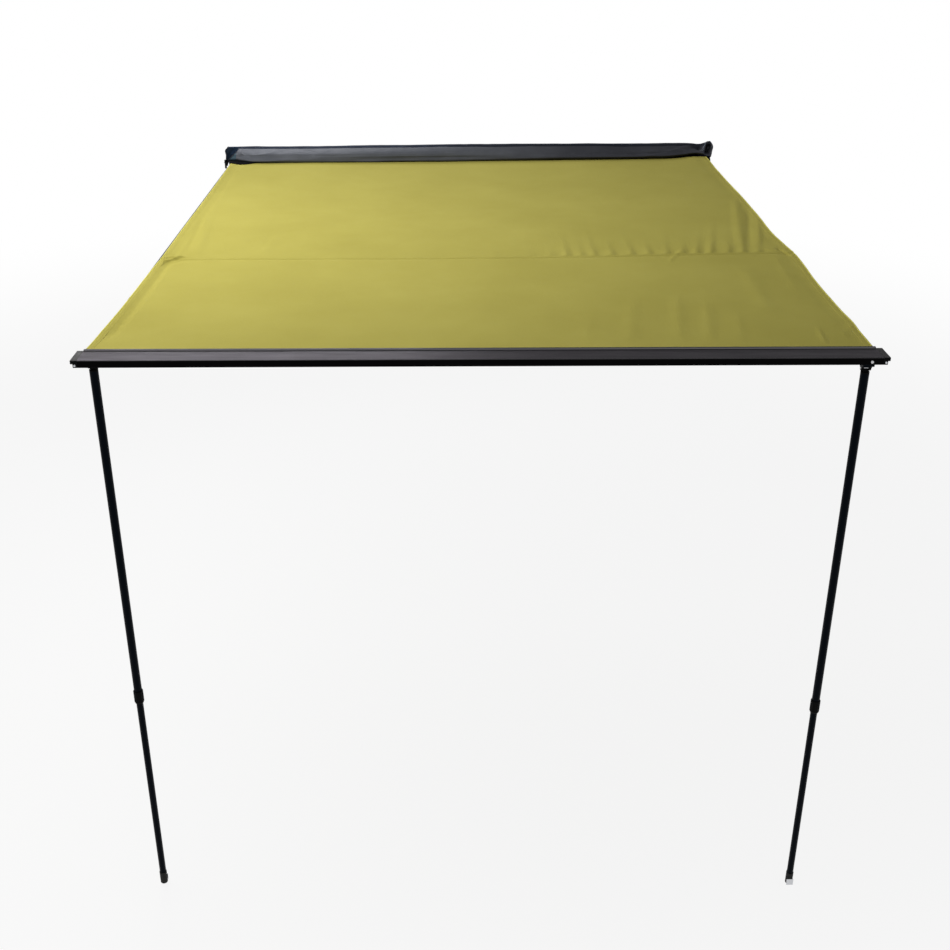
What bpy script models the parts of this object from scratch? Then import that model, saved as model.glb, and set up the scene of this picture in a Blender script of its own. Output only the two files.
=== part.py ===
"""Pull-out side awning for a vehicle's roof rack, built as separate pieces.

The origin is the middle of the mounting pad on the back rail's rear face.
+X runs along the rails, to the right seen from the front. +Y points into the vehicle.
+Z is up. Every length is in metres. The awning stands open, as it is used.
"""
import math

import bmesh
import bpy
from mathutils import Matrix, Vector

# Clearance between pieces that touch on the real object
GAP = 0.0003
# How far a cutter runs past what it cuts, and how deep an added shape is sunk in
PAST = 0.020
SINK = 0.002

# Fabric
FABRIC_Z = 0.016
FABRIC_WIDTH = 1.960
FABRIC_THICKNESS = 0.0012
BEAD_RADIUS = 0.0025

# Keder groove, which holds the bead along each fabric edge
GROOVE_RADIUS = 0.0029
GROOVE_MOUTH = 0.0011
GROOVE_DEPTH = 0.0042
GROOVE_BLOCK = 0.0043
GROOVE_POINTS = 14

# Back rail, a box extrusion with two T-slots in its rear face
BACK_LENGTH = 1.980
BACK_DEPTH = 0.012
BACK_HALF_HEIGHT = 0.0545
PAD_HALF_HEIGHT = 0.0175
PAD_STEP = 0.0005
SLOT_Z = 0.030
SLOT_MOUTH = 0.00425
SLOT_CAVITY = 0.007
SLOT_LIP = 0.0025
SLOT_FLOOR = 0.0087
CHAMBER_WALL = 0.0027
HEM_GROOVE_Y = -0.006
HEM_GROOVE_Z = 0.0502
HEM_MOUTH = 0.0013
BACK_CAP_THICKNESS = 0.0042
BACK_CAP_PLUG = 0.015

# Front rail, a channel open below, where the legs are stowed
RAIL_LENGTH = 2.000
RAIL_DEPTH = 0.076
RAIL_REAR_Y = -2.344
FRONT_Y = RAIL_REAR_Y - RAIL_DEPTH
RAIL_TOP = 0.0015
RAIL_WALL = 0.0025
RAIL_ROUND = 0.0015
RIDGE_FRONT = -0.0076
RIDGE_BEVEL = 0.0008
FRONT_LIP_BOTTOM = -0.017
REAR_WALL_BOTTOM = -0.0245
REAR_WALL_INNER = -0.0084
REAR_WALL_OUTER = -0.0059

# End caps of the front rail
CAP_LENGTH = 0.016
CAP_OVERHANG = 0.0055
CAP_LID = 0.009
CAP_LIP = 0.012
CAP_INSERT = 0.006
CAP_INSERT_BOTTOM = -0.012
SCREW_INSET = 0.010
SCREW_Z = FABRIC_Z - 0.0115
SCREW_RADIUS = 0.0016
SCREW_LENGTH = 0.008
SCREW_HEAD_RADIUS = 0.0031
SCREW_HEAD = 0.0022
SCREW_PLAY = 0.001

# Tubes of the arms and legs, one sliding in the other
OUTER_RADIUS = 0.011
OUTER_BORE = 0.0098
INNER_RADIUS = 0.0095
INNER_BORE = 0.0083
PLUG_DEPTH = 0.033
FLANGE = 0.0035
TUBE_SIDES = 24
PIN_SIDES = 16

# Twist-lock collars, and the wedges inside the tubes that they stand for
COLLAR_LENGTH = 0.042
COLLAR_CHAMFER = 0.0025
COLLAR_SHOULDER = 0.014
COLLAR_PLAY = 0.0004
COLLAR_START_TAPER = 0.0012
COLLAR_END_TAPER = 0.0022
COLLAR_SIDES = 36
COLLAR_FLUTES = 12
COLLAR_FLUTE_DEPTH = 0.0006
LEG_COLLAR_RADIUS = 0.0135
ARM_COLLAR_RADIUS = 0.0130
EXPANDER_HEAD = 0.025
EXPANDER_SHANK = 0.030
EXPANDER_PLAY = 0.0006
EXPANDER_TAPER = 0.0008

# Arms: the two lie in lanes one above the other, so that both can fold inwards
ARM_X = {"left": -0.967, "right": 0.962}
ARM_Z = {"left": FABRIC_Z - 0.0150, "right": FABRIC_Z - 0.0405}
ARM_PIVOT_Y = -0.040
ARM_COLLAR_Y = -1.901
ARM_OVERLAP = 0.235
ARM_TIP_Y = -2.318
ARM_PIN_RADIUS = 0.004
PIN_HEAD_RADIUS = 0.006
PIN_HEAD = 0.002
EYE_RADIUS = 0.011
EYE_HALF_HEIGHT = 0.0055
EYE_REACH = 0.0185
EYE_NECK = 0.0085

# Arm brackets on the back rail
ARM_PLATE = 0.004
ARM_PLATE_HALF_WIDTH = 0.016
ARM_PLATE_SHOULDER = 0.006
ARM_FLANGE = 0.003
ARM_FLANGE_REACH = 0.036

# Tongues at the arms' tips, and the catches behind the front rail that take them
TONGUE_HALF_WIDTH = 0.008
TONGUE_HALF_HEIGHT = 0.003
TONGUE_PLAY = 0.0004
CATCH_PLATE = 0.002
CATCH_REACH = 0.012
CATCH_INBOARD = 0.010
CATCH_SKIRT = 0.0005

# Leg brackets: each leg folds into its own lane of the front rail's channel
LEG_X = {"left": -0.961, "right": 0.947}
CHEEK_INNER = 0.0114
CHEEK_OUTER = 0.0144
LEG_Y = {
    "left": RAIL_REAR_Y + REAR_WALL_INNER - GAP - CHEEK_OUTER,
    "right": FRONT_Y + RAIL_WALL + GAP + CHEEK_OUTER,
}
BRACKET_INBOARD = 0.0125
BRACKET_OUTBOARD = 0.0165
BRACKET_WEB = 0.0025
BRACKET_TOP = FABRIC_Z - 0.0013
BRACKET_BOTTOM = FABRIC_Z - 0.0235
FOLD_PIN_RADIUS = 0.003
RIVET_OFFSET = 0.0085
RIVET_Z = FABRIC_Z - 0.0100
RIVET_RADIUS = 0.0022
RIVET_HEAD_RADIUS = 0.0040
RIVET_HEAD = 0.0018

# Legs, with the knuckle that lets each one fold and tilt
LEG_FOLD_Z = FABRIC_Z - 0.0150
LEG_TILT_DROP = 0.016
LEG_LENGTH = 1.710
LEG_COLLAR_DROP = {"left": 1.0215, "right": 1.0505}
LEG_OVERLAP = 0.250
KNUCKLE_RADIUS = 0.0130
KNUCKLE_HALF_DEPTH = 0.0110
KNUCKLE_FOOT_HALF_WIDTH = 0.0120
KNUCKLE_SHOULDER = -0.008
FORK_HALF_GAP = 0.0074
FORK_END_RADIUS = 0.0070
FORK_PLAY = 0.001
TILT_PIN_RADIUS = 0.0025
TILT_PIN_PROUD = 0.0006
STEM_RADIUS = 0.0065
STEM_HALF_WIDTH = 0.0070
STEM_NECK = 0.0060
STEM_DROP = 0.0095
HOOK_PLAY = 0.0004

# Feet
FOOT_RADIUS = 0.0108
FOOT_HEIGHT = 0.042
FOOT_FLOOR = 0.008
FOOT_ROUND = 0.003
FOOT_FLAT = 0.0100
FOOT_PLATE_THICKNESS = 0.0016
FOOT_PLATE_HALF_WIDTH = 0.0100
FOOT_PLATE_BOTTOM = 0.0005
FOOT_PLATE_TOP = 0.0225

# Cover, the bag that the awning is packed in: its upper half lies over the back rail
COVER_HALF_LENGTH = 0.999
COVER_SLANT = 0.042
COVER_THICKNESS = 0.0016
COVER_END_TOP = 0.043
COVER_HEM_END = 0.985
COVER_HEM_LIFT = 0.0415

# The cover's lower half, which hangs behind the arms
FLAP_HALF_LENGTH = 0.980
FLAP_TOP = -0.0478
FLAP_BOTTOM = -0.205
FLAP_WAVES = 9
FLAP_WAVE = 0.006
FLAP_FLAT_SHARE = 0.2
FLAP_ROWS = 6

# Zip slider at the cover's left corner, and its pull
ZIP_X = -0.9945
ZIP_Y = -0.0950
ZIP_HALF_WIDTH = 0.004
ZIP_HALF_DEPTH = 0.0014
ZIP_RISE = 0.008
ZIP_DROP = 0.004
PULL_HALF_WIDTH = 0.003
PULL_HALF_DEPTH = 0.0008
PULL_LENGTH = 0.022

# Mounting brackets, which sit on the bars of a roof rack
MOUNT_X = 0.620
MOUNT_HALF_WIDTH = 0.025
MOUNT_THICKNESS = 0.005
MOUNT_TOP = -0.0185
MOUNT_BOTTOM = -0.0465
MOUNT_REACH = 0.066
BOLT_RADIUS = 0.004
BOLT_HOLE = 0.0045
BOLT_END = 0.0165
BOLT_HEAD_PLAY = 0.0005
NUT_RADIUS = 0.0075
NUT_HEIGHT = 0.0065
RACK_SLOT_Y = (0.022, 0.048)
RACK_SLOT_HALF_LENGTH = 0.012

# Maps an outline (u, v) and a depth w to x, y, z for a solid drawn along each axis
ALONG = {
    "X": Matrix(((0, 0, 1), (1, 0, 0), (0, 1, 0))),
    "Y": Matrix(((1, 0, 0), (0, 0, 1), (0, 1, 0))),
    "Z": Matrix(((1, 0, 0), (0, 1, 0), (0, 0, 1))),
}
SIDES = {"left": -1, "right": 1}


def clear_scene():
    for item in list(bpy.data.objects):
        bpy.data.objects.remove(item, do_unlink=True)


def make_material(name, colour, roughness, metallic):
    material = bpy.data.materials.new(name)
    material.use_nodes = True
    shader = material.node_tree.nodes["Principled BSDF"]
    shader.inputs["Base Color"].default_value = (*colour, 1.0)
    shader.inputs["Roughness"].default_value = roughness
    shader.inputs["Metallic"].default_value = metallic
    return material


def make_materials():
    return {
        "fabric": make_material("canopy_fabric", (0.50, 0.46, 0.11), 0.85, 0.0),
        "cover": make_material("cover_vinyl", (0.045, 0.047, 0.055), 0.45, 0.0),
        "rail": make_material("anodised_rail", (0.030, 0.029, 0.030), 0.35, 0.8),
        "tube": make_material("coated_tube", (0.010, 0.010, 0.012), 0.40, 0.6),
        "plastic": make_material("black_plastic", (0.012, 0.012, 0.013), 0.55, 0.0),
        "rubber": make_material("black_rubber", (0.015, 0.015, 0.015), 0.80, 0.0),
        "steel": make_material("stainless_steel", (0.62, 0.62, 0.63), 0.28, 1.0),
        "bracket": make_material("mill_aluminium", (0.55, 0.55, 0.56), 0.40, 0.9),
    }


def world_place(item):
    """Where an empty stands in the world; none of them is turned."""
    place = Vector()
    while item:
        place += item.location
        item = item.parent
    return place


def make_body(name, at, parent=None):
    """An empty on a moving body's joint axis, which carries the body's pieces."""
    body = bpy.data.objects.new(name, None)
    bpy.context.collection.objects.link(body)
    body.parent = parent
    body.location = Vector(at) - world_place(parent)
    body.empty_display_size = 0.02
    return body


def make_object(name, shape, at, body, material):
    """Name a shape drawn about its own origin, and stand it at a place in the world."""
    bmesh.ops.recalc_face_normals(shape, faces=shape.faces)
    mesh = bpy.data.meshes.new(name)
    shape.to_mesh(mesh)
    shape.free()
    mesh.materials.append(material)
    mesh.shade_smooth()
    mesh.set_sharp_from_angle(angle=math.radians(35))
    item = bpy.data.objects.new(name, mesh)
    bpy.context.collection.objects.link(item)
    item.parent = body
    item.location = Vector(at) - world_place(body)
    return item


def prism(outline, axis, low, high, holes=()):
    """A straight solid with an outline, and holes if any, between two depths along an axis."""
    shape = bmesh.new()
    turn = ALONG[axis]
    loops = [outline, *holes]
    near_end = [[shape.verts.new(turn @ Vector((u, v, low))) for u, v in loop] for loop in loops]
    far_end = [[shape.verts.new(turn @ Vector((u, v, high))) for u, v in loop] for loop in loops]
    for near, far in zip(near_end, far_end):
        for i, vert in enumerate(near):
            after = (i + 1) % len(near)
            shape.faces.new((vert, near[after], far[after], far[i]))
    for end in (near_end, far_end):
        if holes:
            edges = []
            for loop in end:
                edges += [shape.edges.get(pair) for pair in zip(loop, loop[1:] + loop[:1])]
            bmesh.ops.triangle_fill(shape, edges=edges, use_beauty=True)
        else:
            shape.faces.new(end[0])
    return shape


def rectangle(low_u, low_v, high_u, high_v):
    return [(low_u, low_v), (high_u, low_v), (high_u, high_v), (low_u, high_v)]


def box(low, high):
    """A block between two opposite corners."""
    return prism(rectangle(low[0], low[1], high[0], high[1]), "Z", low[2], high[2])


def ring_reach(radius, step, sides, flutes, fluted_radius):
    """A ring point's distance from the axis: less in a flute."""
    grooved = flutes and radius >= fluted_radius and step % (sides // flutes) == 0
    return radius - COLLAR_FLUTE_DEPTH if grooved else radius


def turned(profile, axis, sides=TUBE_SIDES, flutes=0, fluted_radius=0.0):
    """A closed profile of (depth, radius) points turned round an axis.

    A point of radius 0 lies on the axis. Flutes are shallow grooves along the widest rings.
    """
    shape = bmesh.new()
    turn = ALONG[axis]
    rings = []
    for depth, radius in profile:
        if radius == 0:
            rings.append([shape.verts.new(turn @ Vector((0, 0, depth)))])
            continue
        ring = []
        for step in range(sides):
            angle = 2 * math.pi * step / sides
            reach = ring_reach(radius, step, sides, flutes, fluted_radius)
            point = Vector((reach * math.cos(angle), reach * math.sin(angle), depth))
            ring.append(shape.verts.new(turn @ point))
        rings.append(ring)
    for here, there in zip(rings, rings[1:] + rings[:1]):
        for step in range(sides):
            after = (step + 1) % sides
            corners = [here[step % len(here)], here[after % len(here)],
                       there[after % len(there)], there[step % len(there)]]
            corners = list(dict.fromkeys(corners))
            if len(corners) > 2:
                shape.faces.new(corners)
    return shape


def tube(axis, low, high, radius, bore):
    return turned([(low, bore), (low, radius), (high, radius), (high, bore)], axis)


def rod(axis, low, high, radius, sides=PIN_SIDES):
    return turned([(low, 0), (low, radius), (high, radius), (high, 0)], axis, sides)


def dome(rim, top, radius):
    """The rounded head of a screw or rivet, from its middle to its rim."""
    height = top - rim
    crown = (rim + 0.95 * height, 0.40 * radius)
    shoulder = (rim + 0.60 * height, 0.82 * radius)
    return [(top, 0), crown, shoulder, (rim, radius)]


def change(target, operation, shape, at, body, name):
    """Cut a shape out of an object, or add it, with a hidden helper object and a Boolean."""
    helper = make_object(f"{target.name}_{name}", shape, at, body, target.data.materials[0])
    helper.hide_render = True
    helper.display_type = "WIRE"
    step = target.modifiers.new(name, "BOOLEAN")
    step.operation = operation
    step.solver = "EXACT"
    step.object = helper


def arc(centre, radius, start, stop, count):
    """Points on a circle, from one angle to another, in degrees."""
    points = []
    for step in range(count):
        angle = math.radians(start + (stop - start) * step / (count - 1))
        points.append((centre[0] + radius * math.cos(angle), centre[1] + radius * math.sin(angle)))
    return points


def circle(centre, radius, count=PIN_SIDES):
    return arc(centre, radius, 0, 360 - 360 / count, count)


def stadium(centre, half_length, radius, count=7):
    """An outline with round ends, longer along its first direction."""
    u, v = centre
    far_end = arc((u + half_length, v), radius, -90, 90, count)
    return far_end + arc((u - half_length, v), radius, 90, 270, count)


def groove(centre, facing, mouth):
    """The round inside of a keder groove, entered and left at its mouth."""
    half = math.degrees(math.asin(mouth / GROOVE_RADIUS))
    return arc(centre, GROOVE_RADIUS, facing - half, facing + half - 360, GROOVE_POINTS)


def t_slot(z):
    """A T-slot's outline in the rear face, from its lower lip to its upper one."""
    face = -PAD_STEP
    lip = face - SLOT_LIP
    return [
        (face, z - SLOT_MOUTH), (lip, z - SLOT_MOUTH), (lip, z - SLOT_CAVITY),
        (-SLOT_FLOOR, z - SLOT_CAVITY), (-SLOT_FLOOR, z + SLOT_CAVITY),
        (lip, z + SLOT_CAVITY), (lip, z + SLOT_MOUTH), (face, z + SLOT_MOUTH),
    ]


def back_rail_outline():
    """Up the rear face, over the top, down the front with its keder nose, and back below."""
    face = -PAD_STEP
    front = -BACK_DEPTH
    nose = front - 2 * GROOVE_DEPTH
    top = BACK_HALF_HEIGHT
    nose_top = FABRIC_Z + GROOVE_BLOCK
    nose_bottom = FABRIC_Z - GROOVE_BLOCK
    pad = PAD_HALF_HEIGHT
    outline = [(face, -top), *t_slot(-SLOT_Z)]
    outline += [(face, -pad), (0, -pad), (0, pad), (face, pad)]
    outline += [*t_slot(SLOT_Z), (face, top), (HEM_GROOVE_Y + HEM_MOUTH, top)]
    outline += groove((HEM_GROOVE_Y, HEM_GROOVE_Z), 90, HEM_MOUTH)
    outline += [(HEM_GROOVE_Y - HEM_MOUTH, top), (front, top)]
    outline += [(front, nose_top), (nose, nose_top), (nose, FABRIC_Z + GROOVE_MOUTH)]
    outline += groove((front - GROOVE_DEPTH, FABRIC_Z), 180, GROOVE_MOUTH)
    outline += [(nose, FABRIC_Z - GROOVE_MOUTH), (nose, nose_bottom), (front, nose_bottom)]
    outline += [(front, -top), (HEM_GROOVE_Y - HEM_MOUTH, -top)]
    outline += groove((HEM_GROOVE_Y, -HEM_GROOVE_Z), 270, HEM_MOUTH)
    outline += [(HEM_GROOVE_Y + HEM_MOUTH, -top)]
    return outline


def chamber_outline(clearance):
    return rectangle(-BACK_DEPTH + CHAMBER_WALL + clearance, -PAD_HALF_HEIGHT + clearance,
                     -CHAMBER_WALL - clearance, PAD_HALF_HEIGHT - clearance)


def build_back_rail(body, materials):
    half = BACK_LENGTH / 2
    shape = prism(back_rail_outline(), "X", -half, half, [chamber_outline(0)])
    make_object("back_rail", shape, (0, 0, 0), body, materials["rail"])
    outline = rectangle(-BACK_DEPTH, -BACK_HALF_HEIGHT, -PAD_STEP, BACK_HALF_HEIGHT)
    for side, sign in SIDES.items():
        inner = sign * (half + GAP)
        outer = sign * (half + GAP + BACK_CAP_THICKNESS)
        cap = make_object(f"back_rail_end_cap_{side}", prism(outline, "X", inner, outer),
                          (0, 0, 0), body, materials["plastic"])
        plug = prism(chamber_outline(GAP), "X", sign * (half - BACK_CAP_PLUG), (inner + outer) / 2)
        change(cap, "UNION", plug, (0, 0, 0), body, "plug")


def build_mounting(side, sign, body, materials):
    """An angle bracket behind the back rail, and the bolt that holds it in the lower T-slot."""
    near = -PAD_STEP + GAP
    shelf = MOUNT_BOTTOM + MOUNT_THICKNESS
    outline = [(near, MOUNT_BOTTOM), (MOUNT_REACH, MOUNT_BOTTOM), (MOUNT_REACH, shelf),
               (near + MOUNT_THICKNESS, shelf), (near + MOUNT_THICKNESS, MOUNT_TOP), (near, MOUNT_TOP)]
    at = (sign * MOUNT_X, 0, 0)
    shape = prism(outline, "X", -MOUNT_HALF_WIDTH, MOUNT_HALF_WIDTH)
    bracket = make_object(f"mounting_bracket_{side}", shape, at, body, materials["bracket"])
    bolt_at = (at[0], 0, -SLOT_Z)
    change(bracket, "DIFFERENCE", rod("Y", -PAST, PAST, BOLT_HOLE), bolt_at, body, "bolt_hole")
    for number, y in enumerate(RACK_SLOT_Y):
        slot = stadium((0, y), RACK_SLOT_HALF_LENGTH, BOLT_HOLE)
        cutter = prism(slot, "Z", MOUNT_BOTTOM - PAST, MOUNT_BOTTOM + PAST)
        change(bracket, "DIFFERENCE", cutter, at, body, f"rack_slot_{number}")
    head_half = SLOT_CAVITY - BOLT_HEAD_PLAY
    head_front = -SLOT_FLOOR + GAP
    head_rear = -PAD_STEP - SLOT_LIP - GAP
    head = box((-head_half, head_front, -head_half), (head_half, head_rear, head_half))
    bolt = make_object(f"mounting_bolt_{side}", head, bolt_at, body, materials["steel"])
    shank = rod("Y", (head_front + head_rear) / 2, BOLT_END, BOLT_RADIUS)
    change(bolt, "UNION", shank, bolt_at, body, "shank")
    nut_near = near + MOUNT_THICKNESS + GAP
    nut = rod("Y", nut_near, nut_near + NUT_HEIGHT, NUT_RADIUS, 6)
    change(bolt, "UNION", nut, bolt_at, body, "nut")


def build_canopy(body, materials):
    """The fabric, stretched between the two rails, with a bead along its front and back edges."""
    back = -BACK_DEPTH - GROOVE_DEPTH
    front = RAIL_REAR_Y - GROOVE_DEPTH
    half = math.degrees(math.asin(FABRIC_THICKNESS / 2 / BEAD_RADIUS))
    outline = arc((back, FABRIC_Z), BEAD_RADIUS, 180 + half, 540 - half, GROOVE_POINTS)
    outline += arc((front, FABRIC_Z), BEAD_RADIUS, half, 360 - half, GROOVE_POINTS)
    shape = prism(outline, "X", -FABRIC_WIDTH / 2, FABRIC_WIDTH / 2)
    make_object("canopy", shape, (0, 0, 0), body, materials["fabric"])


def cover_profile():
    """The cover's section, (y, height over the fabric): from its hem, over the top, to its front lip."""
    return [(HEM_GROOVE_Y, 0.0325), (HEM_GROOVE_Y, 0.0460), (-0.012, 0.0525), (-0.028, 0.0575),
            (-0.050, 0.0590), (-0.070, 0.0560), (-0.083, 0.0480), (-0.089, 0.0360), (-0.0915, 0.0220),
            (-0.092, 0.0100), (-0.090, 0.0040)]


def cover_station(x):
    """The section at x: past the rail's end the hem is lifted, and each end slants down."""
    slant = max(0.0, abs(x) - (COVER_HALF_LENGTH - COVER_SLANT)) / COVER_SLANT
    points = []
    for y, height in cover_profile():
        if abs(x) > COVER_HEM_END and y == HEM_GROOVE_Y:
            height = max(height, COVER_HEM_LIFT)
        height += (min(height, COVER_END_TOP) - height) * slant
        points.append(Vector((x, y, FABRIC_Z + height)))
    return points


def sheet(rows, close_ends):
    """A surface through rows of points, with a wall across each end row if asked for."""
    shape = bmesh.new()
    grid = [[shape.verts.new(point) for point in row] for row in rows]
    for here, there in zip(grid, grid[1:]):
        for i in range(len(here) - 1):
            shape.faces.new((here[i], here[i + 1], there[i + 1], there[i]))
    if close_ends:
        shape.faces.new(grid[0])
        shape.faces.new(grid[-1])
    return shape


def thicken(item, thickness):
    step = item.modifiers.new("thickness", "SOLIDIFY")
    step.thickness = thickness
    step.offset = 0
    step.use_even_offset = True


def build_cover(body, materials):
    inner = COVER_HALF_LENGTH - COVER_SLANT
    half_stations = [COVER_HALF_LENGTH, COVER_HEM_END + SINK, COVER_HEM_END,
                     inner, inner * 0.75, inner * 0.5, inner * 0.25]
    stations = [-x for x in half_stations] + [0.0] + half_stations[::-1]
    shape = sheet([cover_station(x) for x in stations], True)
    cover = make_object("cover", shape, (0, 0, 0), body, materials["cover"])
    thicken(cover, COVER_THICKNESS)


def flap_row(x):
    """The lower flap hangs from the back rail, and its folds open towards its free edge."""
    points = []
    for step in range(FLAP_ROWS):
        share = step / (FLAP_ROWS - 1)
        fold = FLAP_WAVE * max(0.0, share - FLAP_FLAT_SHARE)
        wave = fold * math.sin(FLAP_WAVES * math.pi * x / FLAP_HALF_LENGTH)
        points.append(Vector((x, HEM_GROOVE_Y + wave, FLAP_TOP + (FLAP_BOTTOM - FLAP_TOP) * share)))
    return points


def build_cover_flap(body, materials):
    count = FLAP_WAVES * 6
    rows = [flap_row(FLAP_HALF_LENGTH * (2 * step / count - 1)) for step in range(count + 1)]
    flap = make_object("cover_lower_flap", sheet(rows, False), (0, 0, 0), body, materials["cover"])
    thicken(flap, COVER_THICKNESS)


def zip_pull_place():
    """The pull turns about the middle of its rounded upper end, just below the slider."""
    return (ZIP_X, ZIP_Y, FABRIC_Z - ZIP_DROP - GAP - PULL_HALF_DEPTH)


def build_zip(body, pull_body, materials):
    """The zip's slider at the cover's left corner, and the pull that hangs from it."""
    slider = box((-ZIP_HALF_WIDTH, -ZIP_HALF_DEPTH, -ZIP_DROP), (ZIP_HALF_WIDTH, ZIP_HALF_DEPTH, ZIP_RISE))
    make_object("zip_slider", slider, (ZIP_X, ZIP_Y, FABRIC_Z), body, materials["steel"])
    outline = arc((0, 0), PULL_HALF_DEPTH, 0, 180, 7)
    outline += [(-PULL_HALF_DEPTH, -PULL_LENGTH), (PULL_HALF_DEPTH, -PULL_LENGTH)]
    pull = prism(outline, "X", -PULL_HALF_WIDTH, PULL_HALF_WIDTH)
    make_object("zip_pull", pull, zip_pull_place(), pull_body, materials["cover"])


def rounded_front_edge():
    return arc((-RAIL_DEPTH + RAIL_ROUND, RAIL_TOP - RAIL_ROUND), RAIL_ROUND, 90, 180, 4)


def front_rail_outline():
    """The rear wall with its keder groove and ridge, the top, the front lip, and back inside."""
    front = -RAIL_DEPTH
    under_top = RAIL_TOP - RAIL_WALL
    outline = [(REAR_WALL_INNER, REAR_WALL_BOTTOM), (REAR_WALL_OUTER, REAR_WALL_BOTTOM),
               (REAR_WALL_OUTER, -GROOVE_BLOCK), (0, -GROOVE_BLOCK), (0, -GROOVE_MOUTH)]
    outline += groove((-GROOVE_DEPTH, 0), 0, GROOVE_MOUTH)
    outline += [(0, GROOVE_MOUTH), (0, GROOVE_BLOCK - RIDGE_BEVEL), (-RIDGE_BEVEL, GROOVE_BLOCK),
                (RIDGE_FRONT, GROOVE_BLOCK), (RIDGE_FRONT - 2 * RIDGE_BEVEL, RAIL_TOP)]
    outline += rounded_front_edge()
    outline += [(front, FRONT_LIP_BOTTOM), (front + RAIL_WALL, FRONT_LIP_BOTTOM),
                (front + RAIL_WALL, under_top), (REAR_WALL_INNER, under_top)]
    return outline


def rivet_place(side):
    """The rivet stands a little to the right of each fold pin."""
    return (LEG_X[side] + RIVET_OFFSET, LEG_Y[side], RIVET_Z)


def rivet_direction(side):
    """The right leg is riveted to the front lip, the left one to the rear wall."""
    return {"left": 1, "right": -1}[side]


def build_front_rail(body, materials):
    half = RAIL_LENGTH / 2 - CAP_LENGTH
    at = (0, RAIL_REAR_Y, FABRIC_Z)
    shape = prism(front_rail_outline(), "X", -half, half)
    rail = make_object("front_rail", shape, at, body, materials["rail"])
    for side in SIDES:
        hole = rod("Y", 0, rivet_direction(side) * PAST, RIVET_RADIUS + GAP)
        change(rail, "DIFFERENCE", hole, rivet_place(side), body, f"rivet_hole_{side}")


def build_rail_cap(side, sign, body, materials):
    """An end cap with a lid that stands over its lower part, a plug in the channel, and a screw."""
    end = RAIL_LENGTH / 2
    joint = end - CAP_LENGTH
    front = -RAIL_DEPTH
    rear = REAR_WALL_OUTER
    at = (0, RAIL_REAR_Y, FABRIC_Z)
    lower = [(rear, REAR_WALL_BOTTOM), (rear, RAIL_TOP), *rounded_front_edge(),
             (front, FRONT_LIP_BOTTOM), (front + CAP_LIP, FRONT_LIP_BOTTOM)]
    shape = prism(lower, "X", sign * (joint + GAP), sign * (end - CAP_OVERHANG))
    cap = make_object(f"front_rail_end_cap_{side}", shape, at, body, materials["plastic"])
    lid_bottom = RAIL_TOP - CAP_LID
    lid = [(rear, lid_bottom), (rear, RAIL_TOP), *rounded_front_edge(), (front, lid_bottom)]
    change(cap, "UNION", prism(lid, "X", sign * (end - CAP_OVERHANG - SINK), sign * end), at, body, "lid")
    plug = rectangle(front + RAIL_WALL + GAP, CAP_INSERT_BOTTOM,
                     REAR_WALL_INNER - GAP, RAIL_TOP - RAIL_WALL - GAP)
    insert = prism(plug, "X", sign * (joint - CAP_INSERT), sign * (joint + SINK))
    change(cap, "UNION", insert, at, body, "plug")
    screw_at = (sign * (end - SCREW_INSET), FRONT_Y, SCREW_Z)
    hole = rod("Y", -SINK, SCREW_LENGTH + SCREW_PLAY, SCREW_RADIUS + GAP)
    change(cap, "DIFFERENCE", hole, screw_at, body, "screw_hole")
    screw = dome(-GAP, -SCREW_HEAD, SCREW_HEAD_RADIUS)
    screw += [(-GAP, SCREW_RADIUS), (SCREW_LENGTH, SCREW_RADIUS), (SCREW_LENGTH, 0)]
    make_object(f"end_cap_screw_{side}", turned(screw, "Y", PIN_SIDES), screw_at, body, materials["steel"])


def plug_profile(direction, start, flange_radius, bore):
    """A plug that goes into a tube's end, with a flange that covers the tube's edge."""
    flange_end = start + direction * FLANGE
    end = flange_end + direction * PLUG_DEPTH
    return [(start, 0), (start, flange_radius), (flange_end, flange_radius), (flange_end, bore - GAP),
            (end, bore - GAP), (end, 0)]


def collar_profile(radius):
    """A twist-lock sleeve: it covers the outer tube's end and narrows to the inner tube."""
    start = COLLAR_LENGTH / 2
    end = -COLLAR_LENGTH / 2
    step = start - COLLAR_SHOULDER
    wide = OUTER_RADIUS + COLLAR_PLAY
    narrow = INNER_RADIUS + COLLAR_PLAY
    return [(start, wide), (start, radius - COLLAR_START_TAPER), (start - COLLAR_CHAMFER, radius),
            (end + 2 * COLLAR_CHAMFER, radius), (end, radius - COLLAR_END_TAPER), (end, narrow),
            (step, narrow), (step, wide)]


def build_collar(name, axis, radius, at, body, materials):
    shape = turned(collar_profile(radius), axis, COLLAR_SIDES, COLLAR_FLUTES, radius)
    make_object(name, shape, at, body, materials["plastic"])


def build_expander(name, axis, tube_end, at, body, materials):
    """The wedge at the inner tube's end, which grips the outer tube's bore when the tubes are twisted."""
    start = tube_end + GAP
    end = start + EXPANDER_HEAD
    wide = OUTER_BORE - EXPANDER_PLAY
    shank = INNER_BORE - GAP
    profile = [(end, 0), (end, wide - EXPANDER_TAPER), (start + 0.6 * EXPANDER_HEAD, wide), (start, wide),
               (start, shank), (start - EXPANDER_SHANK, shank), (start - EXPANDER_SHANK, 0)]
    make_object(name, turned(profile, axis), at, body, materials["plastic"])


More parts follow.
